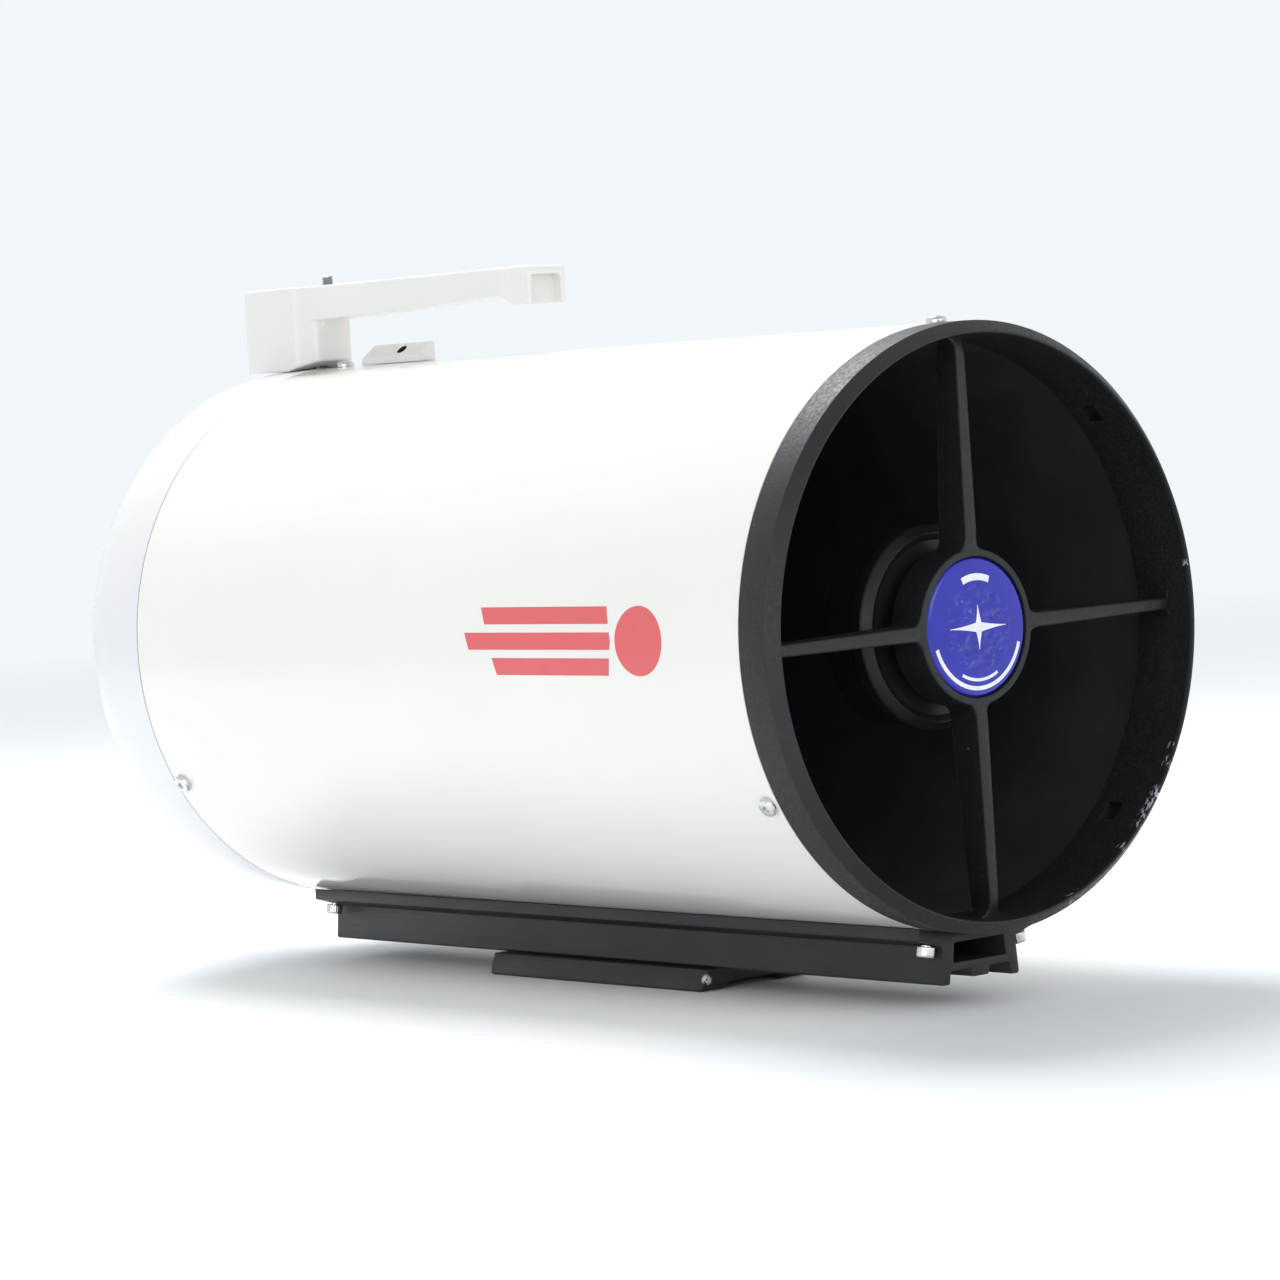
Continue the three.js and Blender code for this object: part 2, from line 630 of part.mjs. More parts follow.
// ---- Focus knob, its screw and its bush ----
function makeFocuser() {
  const bushY = FOCUS_PAD_Y + GAP;
  const bush = turned([
    [FOCUS_SCREW_RADIUS + RUNNING_FIT, 414],
    [6, 414],
    [6, bushY],
    [14.5, bushY],
    [14.5, bushY + 3],
    [8, bushY + 3],
    [8, bushY + 6],
    [FOCUS_SCREW_RADIUS + RUNNING_FIT, bushY + 6],
  ], SMALL_ROUND);
  const drilled = subtractAll(bush, bushScrewHoles(0));
  addPart('focus_bush', drilled.translate([FOCUS_X, 0, 0]), brass);

  bushScrewPlaces().forEach(([x, z], index) => {
    const solid = screwSolid(2.4, 1.6, SMALL_SCREW_RADIUS, 8, 10).subtract(crossRecess(1.6, 1.4));
    const mesh = addPart(`focus_bush_screw_${index + 1}`, solid, brightSteel);
    mesh.position.set(FOCUS_X + x, bushY + 3 + GAP, z);
  });

  const screw = turned([
    [0, FOCUS_SCREW_TIP_Y],
    [FOCUS_SCREW_RADIUS - 0.6, FOCUS_SCREW_TIP_Y],
    [FOCUS_SCREW_RADIUS, FOCUS_SCREW_TIP_Y + 0.6],
    [FOCUS_SCREW_RADIUS, 452],
    [0, 452],
  ], SMALL_ROUND);
  const tappedEnd = pinAlongY(SMALL_SCREW_HOLE, 445, 453);
  addPart('focus_screw', screw.subtract(tappedEnd).translate([FOCUS_X, 0, 0]), brightSteel);

  const knob = turned([
    [FOCUS_SCREW_RADIUS + GAP, 438],
    [KNOB_RADIUS, 438],
    [KNOB_RADIUS, 456],
    [15, 457.5],
    [4.6, 457.5],
    [4.6, 452.3],
    [FOCUS_SCREW_RADIUS + GAP, 452.3],
  ], 32);
  addPart('focus_knob', knob.translate([FOCUS_X, 0, 0]), blackAnodised);

  const grip = turned([
    [KNOB_RADIUS + GAP, 439.5],
    [18.6, 439.5],
    [19, 440.5],
    [19, 453.5],
    [18.6, 454.5],
    [KNOB_RADIUS + GAP, 454.5],
  ], 32);
  const grooves = [];
  for (let index = 0; index < KNOB_GROOVES; index += 1) {
    const groove = pinAlongY(1, 438, 456, KNOB_RADIUS + 2.9, 0, 4);
    grooves.push(groove.rotate([0, 360 * index / KNOB_GROOVES, 0]));
  }
  addPart('focus_knob_grip', subtractAll(grip, grooves).translate([FOCUS_X, 0, 0]), rubber);

  const cap = screwSolid(4, 2.4, SMALL_SCREW_RADIUS, 6).subtract(hexRecess(2.4, 1.4));
  const capMesh = addPart('focus_knob_bolt', cap, blackSteel);
  capMesh.position.set(FOCUS_X, 452 + GAP, 0);
}

// ---- Visual back ----
function makeVisualBack() {
  const seatY = REAR_FACE_Y + 3.8;
  const ring = turned([
    [27, seatY],
    [30.1, seatY],
    [30.1, BOSS_Y + GAP],
    [38, BOSS_Y + GAP],
    [38, BOSS_Y + 8],
    [27, BOSS_Y + 8],
  ], MEDIUM_ROUND);
  addPart('visual_back_ring', ring, blackAnodised);

  const collar = turned([
    [ADAPTER_BORE, seatY],
    [26.7, seatY],
    [26.7, BOSS_Y + 8.3],
    [35, BOSS_Y + 8.3],
    [35, BOSS_Y + 14],
    [31, BOSS_Y + 16],
    [31, ADAPTER_REAR_Y - 1],
    [30, ADAPTER_REAR_Y],
    [26.5, ADAPTER_REAR_Y],
    [ADAPTER_BORE, ADAPTER_REAR_Y - 1],
    [ADAPTER_BORE, THUMBSCREW_Y + 5],
    [26.8, THUMBSCREW_Y + 5],
    [26.8, THUMBSCREW_Y - 5],
    [ADAPTER_BORE, THUMBSCREW_Y - 5],
  ], 32);
  const screwHoles = THUMBSCREW_ANGLES.map((angle) => (
    radialPin(THUMB_SHANK_RADIUS + RUNNING_FIT, 20, 40, angle, THUMBSCREW_Y, 16)
  ));
  addPart('visual_back_adapter', subtractAll(collar, screwHoles), blackAnodised);

  const band = turned([
    [25.4, THUMBSCREW_Y - 4.6],
    [26.4, THUMBSCREW_Y - 4.6],
    [26.4, THUMBSCREW_Y + 4.6],
    [25.4, THUMBSCREW_Y + 4.6],
  ], MEDIUM_ROUND).subtract(box(4, 12, 12, 0, THUMBSCREW_Y, -26));
  addPart('clamp_band', band, brass);

  THUMBSCREW_ANGLES.forEach((angle, index) => {
    const solid = turned([
      [0, 0],
      [THUMB_SHANK_RADIUS, 0],
      [THUMB_SHANK_RADIUS, 9],
      [3.6, 9.6],
      [6, 9.6],
      [6.5, 10.2],
      [6.5, 16.4],
      [6, 17],
      [0, 17],
    ], 16);
    const grooves = [];
    for (let angleOfGroove = 0; angleOfGroove < 360; angleOfGroove += 45) {
      grooves.push(pinAlongY(0.9, 9, 18, 6.8, 0, 4).rotate([0, angleOfGroove, 0]));
    }
    const mesh = addPart(`thumbscrew_${index + 1}`, subtractAll(solid, grooves), brightSteel);
    placeRadially(mesh, THUMB_TIP_RADIUS, angle, THUMBSCREW_Y);
  });
}

// ---- Mounting rail under the tube ----
function makeRail() {
  const saddle = TUBE_RADIUS + GAP;
  const wingAngle = THREE.MathUtils.radToDeg(Math.acos(RAIL_WING / saddle));
  const half = [
    [RAIL_WING, -116.6],
    [19.6, -120.2],
    [20.9, RAIL_BOTTOM_Z + 0.8],
    [20.2, RAIL_BOTTOM_Z],
    [17.4, RAIL_BOTTOM_Z],
    [16.9, RAIL_BOTTOM_Z + 0.5],
    [16, -129.8],
    [5, -129.8],
    [4.4, -132.7],
    [3.7, -133.2],
  ];
  const otherHalf = half.map(([x, z]) => [-x, z]).reverse();
  const outline = [...arc(0, 0, saddle, -180 + wingAngle, -wingAngle, 12), ...half, ...otherHalf];
  const channel = [
    [-13.5, -119.05],
    [13.5, -119.05],
    [14.4, -126.8],
    [-14.4, -126.8],
  ];
  const body = sweptAlongY(outline, 0, RAIL_LENGTH);
  const hollow = sweptAlongY(channel, -1, RAIL_LENGTH + 1);
  const holes = [
    ...railBoltRows.flatMap(({ y }) => radialHoles(railBoltAngles, y, RAIL_BOLT_HOLE)),
    ...plateBoltPlaces().map((y) => verticalPin(BOLT_HOLE, 0, y, -140, -125)),
  ];
  addPart('mounting_rail', subtractAll(body.subtract(hollow), holes), blackAnodised);

  for (const { row, y } of railBoltRows) {
    railBoltAngles.forEach((angle, index) => {
      const { head, height, shank, length } = RAIL_BOLT;
      const solid = screwSolid(head, height, shank, length).subtract(hexRecess(height, 1.7));
      const mesh = addPart(`rail_bolt_${row}_${index + 1}`, solid, brightSteel);
      placeRadially(mesh, 122.1, angle, y);
    });
  }
}

function plateBoltPlaces() {
  return [PLATE_FRONT_Y + PLATE_BOLT_INSET, PLATE_FRONT_Y + PLATE_LENGTH - PLATE_BOLT_INSET];
}

// ---- Short dovetail plate that the telescope clamps and stands on ----
function makePlate() {
  const outline = [
    [-25, PLATE_TOP_Z],
    [-29, PLATE_BOTTOM_Z + 1],
    [-28, PLATE_BOTTOM_Z],
    [-16, PLATE_BOTTOM_Z],
    [-15, PLATE_BOTTOM_Z + 2.8],
    [15, PLATE_BOTTOM_Z + 2.8],
    [16, PLATE_BOTTOM_Z],
    [28, PLATE_BOTTOM_Z],
    [29, PLATE_BOTTOM_Z + 1],
    [25, PLATE_TOP_Z],
  ];
  const front = PLATE_FRONT_Y;
  const rear = PLATE_FRONT_Y + PLATE_LENGTH;
  const corner = 4;
  const plan = [
    ...arc(-30 + corner, front + corner, corner, 180, 270, 3),
    ...arc(30 - corner, front + corner, corner, 270, 360, 3),
    ...arc(30 - corner, rear - corner, corner, 0, 90, 3),
    ...arc(-30 + corner, rear - corner, corner, 90, 180, 3),
  ];
  const side = [
    [front - 1, PLATE_TOP_Z + 5],
    [front - 1, PLATE_BOTTOM_Z + corner],
    ...arc(front + corner, PLATE_BOTTOM_Z + corner, corner, 180, 270, 3),
    ...arc(rear - corner, PLATE_BOTTOM_Z + corner, corner, 270, 360, 3),
    [rear + 1, PLATE_BOTTOM_Z + corner],
    [rear + 1, PLATE_TOP_Z + 5],
  ];
  const trimmed = sweptAlongY(outline, front, rear)
    .intersect(sweptAlongZ(plan, PLATE_BOTTOM_Z - 5, PLATE_TOP_Z + 5))
    .intersect(sweptAlongX(side, -40, 40));
  const footHoles = plateBoltPlaces().flatMap((y) => [
    verticalPin(BOLT_HOLE, 0, y, -145, -130),
    verticalPin(6.2, 0, y, -145, -138.4, 16),
  ]);
  const ribRelief = box(11, PLATE_LENGTH + 10, 2, 0, PLATE_FRONT_Y + PLATE_LENGTH / 2, -134);
  addPart('dovetail_plate', subtractAll(trimmed, [...footHoles, ribRelief]), blackAnodised);

  plateBoltPlaces().forEach((y, index) => {
    const solid = screwSolid(5.5, 3.4, BOLT_RADIUS, 13.5).subtract(hexRecess(3.4, 2.4));
    const bolt = addPart(`plate_bolt_${index + 1}`, solid, blackSteel);
    bolt.quaternion.setFromUnitVectors(axisY, axisZ.clone().negate());
    bolt.position.set(0, y, -138.7);
    const nut = box(20, 12, 4, 0, y, -124.4).subtract(verticalPin(BOLT_HOLE, 0, y, -130, -120));
    addPart(`plate_nut_${index + 1}`, nut, brightSteel);
  });
}

// ---- Carry handle, fixed at the rear only ----
function makeHandle() {
  const fillet = 6.8;
  const underside = 137.3;
  const side = [
    [HANDLE_REAR_Y, 108],
    [HANDLE_REAR_Y, HANDLE_TOP_Z - 2],
    [HANDLE_REAR_Y - 2, HANDLE_TOP_Z],
    [HANDLE_FRONT_Y + 1.5, HANDLE_TOP_Z],
    [HANDLE_FRONT_Y, HANDLE_TOP_Z - 1.5],
    [HANDLE_FRONT_Y, 137.3],
    [HANDLE_FRONT_Y + 1, 136.3],
    [243, 136.3],
    [252.8, 140.4],
    [350, 137.4],
    ...arc(HANDLE_POST_Y - fillet, underside - fillet, fillet, 86, 0, 5),
    [HANDLE_POST_Y, HANDLE_TOE_Z],
    [HANDLE_POST_Y + 15, HANDLE_TOE_Z - 3.8],
    [HANDLE_POST_Y + 15, 108],
  ];
  const halfWidths = [
    [HANDLE_FRONT_Y, HANDLE_END_HALF],
    [243, HANDLE_END_HALF],
    [247, HANDLE_END_HALF - 0.9],
    [252.8, HANDLE_ARM_HALF],
    [330, HANDLE_ARM_HALF],
    [352, HANDLE_POST_HALF - 0.6],
    [372, HANDLE_POST_HALF],
    [382, HANDLE_POST_HALF + 0.9],
    [386.5, HANDLE_POST_HALF + 2.6],
    [389.2, HANDLE_BLOCK_HALF],
    [HANDLE_REAR_Y, HANDLE_BLOCK_HALF],
  ];
  const plan = [
    ...halfWidths.map(([y, half]) => [half, y]),
    ...halfWidths.map(([y, half]) => [-half, y]).reverse(),
  ];
  const body = sweptAlongX(side, -20, 20).intersect(sweptAlongZ(plan, 100, 160));
  const cellBody = pinAlongY(TUBE_RADIUS + GAP, 360, REAR_CYLINDER_Y + 20, 0, 0, ROUND);
  const pocket = box(15.6, 12, 24, 0, HANDLE_FRONT_Y, 136.5);
  const holes = [
    ...HANDLE_BOLT_Y.map((y) => verticalPin(BOLT_HOLE, 0, y, 108, 136)),
    verticalPin(STUD_RADIUS + GAP, 0, STUD_Y, 138, 160, 16),
  ];
  // The post's front corners are rounded from its toe up to the underside of the arm.
  const postCorner = 4.6;
  const cornerX = HANDLE_POST_HALF - 4;
  const rounding = box(8, 8, underside - 100, cornerX + 4, HANDLE_POST_Y, (underside + 100) / 2)
    .subtract(verticalPin(postCorner, cornerX, HANDLE_POST_Y + 4, 99, 140, SMALL_ROUND));
  const corners = [rounding, rounding.mirror([1, 0, 0])];
  addPart('carry_handle', subtractAll(body, [cellBody, pocket, ...corners, ...holes]), whitePaint);

  HANDLE_BOLT_Y.forEach((y, index) => {
    const solid = screwSolid(5, 4, BOLT_RADIUS, 24).subtract(hexRecess(4, 2.5));
    const bolt = addPart(`handle_bolt_${index + 1}`, solid, blackSteel);
    bolt.quaternion.setFromUnitVectors(axisY, axisZ.clone().negate());
    bolt.position.set(0, y, 108.8);
  });

  const stud = verticalPin(STUD_RADIUS, 0, STUD_Y, 138.3, HANDLE_TOP_Z + STUD_HEIGHT, 16);
  addPart('handle_stud', stud, blackSteel);
}

// ---- Small chamfered block on top of the tube, with a tapped clamp hole ----
function makeAccessoryShoe() {
  const section = [
    [-SHOE_HALF, 112],
    [SHOE_HALF, 112],
    [SHOE_HALF, SHOE_TOP_Z],
    [SHOE_HALF - 2.5, SHOE_TOP_Z],
    [-SHOE_HALF, SHOE_TOP_Z - 5.6],
  ];
  const block = sweptAlongY(section, SHOE_FRONT_Y, SHOE_FRONT_Y + SHOE_LENGTH);
  const saddle = pinAlongY(TUBE_RADIUS + GAP, SHOE_FRONT_Y - 5, SHOE_FRONT_Y + SHOE_LENGTH + 5,
    0, 0, ROUND);
  const clampHole = verticalPin(2.3, 0, 0, -8, 8, 16)
    .rotate([0, -37, 0])
    .translate([-1.2, SHOE_FRONT_Y + 15.5, 122]);
  const screwHoles = shoeScrewRows.map(({ y }) => verticalPin(SMALL_SCREW_HOLE, 0, y, 110, 121));
  addPart('accessory_shoe', subtractAll(block, [saddle, clampHole, ...screwHoles]), whitePaint);

  for (const { row, y } of shoeScrewRows) {
    const solid = screwSolid(2.8, 1.8, SMALL_SCREW_RADIUS, 6.3, 10).subtract(crossRecess(1.8, 1.5));
    const screw = addPart(`accessory_shoe_screw_${row}`, solid, brightSteel);
    screw.quaternion.setFromUnitVectors(axisY, axisZ.clone().negate());
    screw.position.set(0, y, TUBE_RADIUS - TUBE_WALL - 0.7);
  }
}

// The origin sits under the middle of the telescope, on the surface that its plate stands on.
telescope.name = 'maksutov_telescope';
telescope.position.set(0, -(LIP_Y + ADAPTER_REAR_Y) / 2, -PLATE_BOTTOM_Z);
makeTube();
makeFrontRing();
makeSecondary();
makeTubeScrews();
makeRearCell();
makePrimary();
makeFocuser();
makeVisualBack();
makeRail();
makePlate();
makeHandle();
makeAccessoryShoe();

export default telescope;
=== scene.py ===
"""Looks of a catadioptric telescope tube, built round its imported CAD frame."""
import json
import math
import random

import bmesh
import bpy
from mathutils import Matrix, Vector


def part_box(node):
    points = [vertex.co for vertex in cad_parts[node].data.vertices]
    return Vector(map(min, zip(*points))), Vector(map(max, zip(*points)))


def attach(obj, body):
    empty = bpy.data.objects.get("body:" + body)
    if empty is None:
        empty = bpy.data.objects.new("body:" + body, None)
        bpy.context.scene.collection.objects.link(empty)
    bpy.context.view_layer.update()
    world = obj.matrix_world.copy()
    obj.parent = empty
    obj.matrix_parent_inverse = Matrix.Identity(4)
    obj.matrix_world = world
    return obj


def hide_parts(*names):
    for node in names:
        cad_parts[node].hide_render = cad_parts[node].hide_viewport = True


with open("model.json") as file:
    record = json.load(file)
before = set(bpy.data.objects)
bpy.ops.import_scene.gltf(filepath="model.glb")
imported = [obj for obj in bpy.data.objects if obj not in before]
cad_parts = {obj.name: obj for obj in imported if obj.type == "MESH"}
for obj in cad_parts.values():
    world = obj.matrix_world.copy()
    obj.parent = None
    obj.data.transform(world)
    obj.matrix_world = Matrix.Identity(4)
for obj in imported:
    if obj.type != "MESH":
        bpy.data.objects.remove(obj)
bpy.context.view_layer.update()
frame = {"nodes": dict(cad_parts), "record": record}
nodes = frame["nodes"]

# ---- Places, taken from the frame ----
MM = 0.001
tube_low, tube_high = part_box("main_tube")
FRONT_Y = tube_low[1]
AXIS_Z = (tube_low[2] + tube_high[2]) / 2
TUBE_R = (tube_high[0] - tube_low[0]) / 2 / MM
TUBE_LENGTH = (tube_high[1] - tube_low[1]) / MM
TUBE_WALL = 1.6
TAU = 2 * math.pi
SHARP = 35                     # edges steeper than this stay creased, degrees


def at(x, y, z):
    """Millimetres from the optical axis and the front end of the tube, as a place in the frame."""
    return Vector((x * MM, FRONT_Y + y * MM, AXIS_Z + z * MM))


def local(node):
    """A node's lowest and highest corner, in millimetres from the axis and the tube's front end."""
    low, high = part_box(node)
    return tuple(
        Vector((p[0] / MM, (p[1] - FRONT_Y) / MM, (p[2] - AXIS_Z) / MM)) for p in (low, high)
    )


# ---- Mesh building ----
def new_object(name, verts, faces, sharp=SHARP):
    mesh = bpy.data.meshes.new(name)
    mesh.from_pydata([tuple(v) for v in verts], [], faces)
    obj = bpy.data.objects.new(name, mesh)
    bpy.context.scene.collection.objects.link(obj)
    tidy_mesh(obj, sharp)
    return obj


def tidy_mesh(obj, sharp=SHARP):
    """Outward normals, no doubled points, smooth shading with creases over the given angle."""
    bm = bmesh.new()
    bm.from_mesh(obj.data)
    bmesh.ops.remove_doubles(bm, verts=bm.verts, dist=1e-6)
    bmesh.ops.recalc_face_normals(bm, faces=bm.faces)
    bm.to_mesh(obj.data)
    bm.free()
    for polygon in obj.data.polygons:
        polygon.use_smooth = True
    obj.data.set_sharp_from_angle(angle=math.radians(sharp))


def bake_modifiers(obj, sharp=SHARP):
    """Applies every modifier to the mesh."""
    graph = bpy.context.evaluated_depsgraph_get()
    mesh = bpy.data.meshes.new_from_object(obj.evaluated_get(graph))
    obj.modifiers.clear()
    obj.data = mesh
    tidy_mesh(obj, sharp)
    return obj


def combine(target, others, operation):
    """Joins or cuts target with the other objects, which are then removed."""
    for other in others:
        step = target.modifiers.new("combine", "BOOLEAN")
        step.operation = operation
        step.solver = "EXACT"
        step.object = other
    bake_modifiers(target)
    for other in others:
        bpy.data.objects.remove(other)
    return target


def bevelled(obj, width, segments, limit):
    """Rounds the edges steeper than limit, in degrees. The width is in millimetres."""
    step = obj.modifiers.new("bevel", "BEVEL")
    step.width = width * MM
    step.segments = segments
    step.limit_method = "ANGLE"
    step.angle_limit = math.radians(limit)
    step.harden_normals = False
    return bake_modifiers(obj)


def soften(points, steps=4):
    """Rounds the corners of a closed outline. A point is (u, v) or (u, v, radius)."""
    result = []
    count = len(points)
    for i, point in enumerate(points):
        here = Vector(point[:2])
        radius = point[2] if len(point) > 2 else 0
        if not radius:
            result.append(here)
            continue
        before = Vector(points[i - 1][:2]) - here
        after = Vector(points[(i + 1) % count][:2]) - here
        angle = before.angle(after)
        reach = radius / math.tan(angle / 2)
        reach = min(reach, before.length * 0.49, after.length * 0.49)
        start = here + before.normalized() * reach
        end = here + after.normalized() * reach
        for step in range(steps + 1):
            t = step / steps
            result.append(start * (1 - t) ** 2 + here * 2 * t * (1 - t) + end * t ** 2)
    return result


def lathe(name, outline, segments, centre=(0, 0), wave=None):
    """Turned about Y. The closed outline holds (radius, y[, corner radius]).

    wave(radius, y, angle) gives a new radius, for knurls and grooves.
    """
    profile = soften(outline)
    verts = []
    for step in range(segments):
        angle = TAU * step / segments
        for radius, y in profile:
            r = wave(radius, y, angle) if wave else radius
            x = centre[0] + r * math.cos(angle)
            verts.append(at(x, y, centre[1] + r * math.sin(angle)))
    size = len(profile)
    faces = []
    for step in range(segments):
        here = step * size
        there = ((step + 1) % segments) * size
        for i in range(size):
            j = (i + 1) % size
            if profile[i][0] < 1e-6 and profile[j][0] < 1e-6:
                continue
            ring = [here + i, here + j, there + j, there + i]
            if profile[i][0] < 1e-6:
                ring = [here + i, here + j, there + j]
            elif profile[j][0] < 1e-6:
                ring = [here + i, here + j, there + i]
            faces.append(ring)
    return new_object(name, verts, faces)


def loft(name, sections):
    """Closed sections with the same number of points, capped at both ends."""
    size = len(sections[0])
    verts = [point for section in sections for point in section]
    faces = []
    for k in range(len(sections) - 1):
        for i in range(size):
            j = (i + 1) % size
            faces.append([k * size + i, k * size + j, (k + 1) * size + j, (k + 1) * size + i])
    faces.append(list(range(size)))
    last = (len(sections) - 1) * size
    faces.append([last + i for i in range(size)])
    return new_object(name, verts, faces)


def along_y(name, outline, y0, y1):
    """An (x, z[, corner radius]) outline swept along Y."""
    profile = soften(outline)
    return loft(name, [[at(x, y, z) for x, z in profile] for y in (y0, y1)])


def block(name, low, high):
    """A box between two corners, as a cutter."""
    verts = [at(x, y, z) for x in (low[0], high[0]) for y in (low[1], high[1])
             for z in (low[2], high[2])]
    faces = [(0, 1, 3, 2), (4, 6, 7, 5), (0, 4, 5, 1), (2, 3, 7, 6), (0, 2, 6, 4), (1, 5, 7, 3)]
    return new_object(name, verts, faces)


def from_cad(name, node, voxel, passes):
    """A soft-edged casting: the CAD node's solid, remeshed evenly and relaxed."""
    obj = bpy.data.objects.new(name, nodes[node].data.copy())
    bpy.context.scene.collection.objects.link(obj)
    obj.data.materials.clear()
    tidy_mesh(obj)
    remesh = obj.modifiers.new("remesh", "REMESH")
    remesh.mode = "VOXEL"
    remesh.voxel_size = voxel * MM
    relax = obj.modifiers.new("relax", "SMOOTH")
    relax.factor = 0.5
    relax.iterations = passes
    return bake_modifiers(obj, 60)


def spun(obj, degrees):
    """Turns a cutter round the optical axis."""
    centre = at(0, 0, 0)
    turn = Matrix.Rotation(math.radians(degrees), 4, "Y")
    obj.data.transform(Matrix.Translation(centre) @ turn @ Matrix.Translation(-centre))
    return obj


def strip_faces(count):
    """The faces of a closed strip whose rows have four corners each."""
    faces = []
    for i in range(count - 1):
        a, b = 4 * i, 4 * i + 4
        faces += [(a + k, a + (k + 1) % 4, b + (k + 1) % 4, b + k) for k in range(4)]
    return faces + [(3, 2, 1, 0), tuple(4 * count - 4 + k for k in range(4))]


def turned_to(obj, place, outward):
    """Moves a fastener that was built about +Y at the tube's front end to its seat."""
    origin = at(0, 0, 0)
    turn = Vector((0, 1, 0)).rotation_difference(Vector(outward)).to_matrix().to_4x4()
    obj.data.transform(Matrix.Translation(place) @ turn @ Matrix.Translation(-origin))
    return obj


# ---- Materials ----
class Surface:
    """A node material on the Principled shader, with coordinates in metres in the part's frame."""

    def __init__(self, name, color, roughness=0.4, metallic=0.0, **inputs):
        self.mat = bpy.data.materials.new(name)
        self.mat.use_nodes = True
        self.tree = self.mat.node_tree
        self.shader = self.tree.nodes["Principled BSDF"]
        self.color = color
        self.set("Base Color", (*color, 1))
        self.set("Roughness", roughness)
        self.set("Metallic", metallic)
        for key, value in inputs.items():
            self.set(key.replace("_", " "), value)
        self.mat.diffuse_color = (*color, 1)
        self.coordinates = self.add("ShaderNodeTexCoord").outputs["Object"]
        self.last_bump = None

    def set(self, key, value):
        self.shader.inputs[key].default_value = value

    def add(self, kind, inputs=None, **properties):
        node = self.tree.nodes.new(kind)
        for key, value in properties.items():
            setattr(node, key, value)
        for key, value in (inputs or {}).items():
            if hasattr(value, "is_linked") or isinstance(value, bpy.types.NodeSocket):
                self.tree.links.new(value, node.inputs[key])
            else:
                node.inputs[key].default_value = value
        return node

    def wire(self, output, key):
        self.tree.links.new(output, self.shader.inputs[key])

    def stretched(self, scale):
        inputs = {"Vector": self.coordinates, "Scale": scale}
        return self.add("ShaderNodeMapping", inputs).outputs["Vector"]

    def noise(self, size_mm, detail=3.0, vector=None, rough=0.5):
        inputs = {
            "Vector": vector or self.coordinates,
            "Scale": 1000.0 / size_mm,
            "Detail": detail,
            "Roughness": rough,
        }
        return self.add("ShaderNodeTexNoise", inputs).outputs["Fac"]

    def cells(self, size_mm):
        inputs = {"Vector": self.coordinates, "Scale": 1000.0 / size_mm}
        node = self.add("ShaderNodeTexVoronoi", inputs, feature="SMOOTH_F1")
        return node.outputs["Distance"]

    def math(self, operation, a, b=0.0):
        return self.add("ShaderNodeMath", {0: a, 1: b}, operation=operation).outputs[0]

    def ramp(self, value, low, high, out_low=0.0, out_high=1.0):
        inputs = {
            "Value": value,
            "From Min": low,
            "From Max": high,
            "To Min": out_low,
            "To Max": out_high,
        }
        return self.add("ShaderNodeMapRange", inputs, clamp=True).outputs["Result"]

    def mix(self, factor, first, second):
        node = self.add("ShaderNodeMix", data_type="RGBA")
        for key, value in (("Factor", factor), ("A", first), ("B", second)):
            index = {"Factor": 0, "A": 6, "B": 7}[key]
            if isinstance(value, bpy.types.NodeSocket):
                self.tree.links.new(value, node.inputs[index])
            else:
                full = (*value, 1) if isinstance(value, tuple) and len(value) == 3 else value
                node.inputs[index].default_value = full
        return node.outputs[2]

    def mottle(self, size_mm, amount):
        """Slow, faint change of tone."""
        low = tuple(c * (1 - amount) for c in self.color)
        high = tuple(min(c * (1 + amount * 0.6), 1) for c in self.color)
        self.wire(self.mix(self.ramp(self.noise(size_mm, 2.0), 0.35, 0.65), low, high),
                  "Base Color")

    def roughness(self, size_mm, low, high, vector=None):
        self.wire(self.ramp(self.noise(size_mm, 4.0, vector), 0.3, 0.7, low, high), "Roughness")

    def bump(self, height, distance_mm, strength=1.0):
        inputs = {"Height": height, "Distance": distance_mm * MM, "Strength": strength}
        if self.last_bump:
            inputs["Normal"] = self.last_bump
        self.last_bump = self.add("ShaderNodeBump", inputs).outputs["Normal"]
        self.wire(self.last_bump, "Normal")

    def axes(self):
        node = self.add("ShaderNodeSeparateXYZ", {"Vector": self.coordinates})
        return node.outputs["X"], node.outputs["Y"], node.outputs["Z"]


def enamel(name, color, roughness, peel_mm, peel_depth, sand_mm=0.0):
    """Paint under a clear coat, with orange peel, and a sandy grain if sand_mm is given."""
    s = Surface(name, color, roughness, Coat_Weight=0.35, Coat_Roughness=0.06)
    s.mottle(70, 0.012)
    s.roughness(26, roughness * 0.93, roughness * 1.12)
    s.bump(s.noise(peel_mm, 2.0), peel_depth, 0.5)
    if sand_mm:
        s.bump(s.noise(sand_mm, 2.0), 0.02, 0.6)
    return s.mat


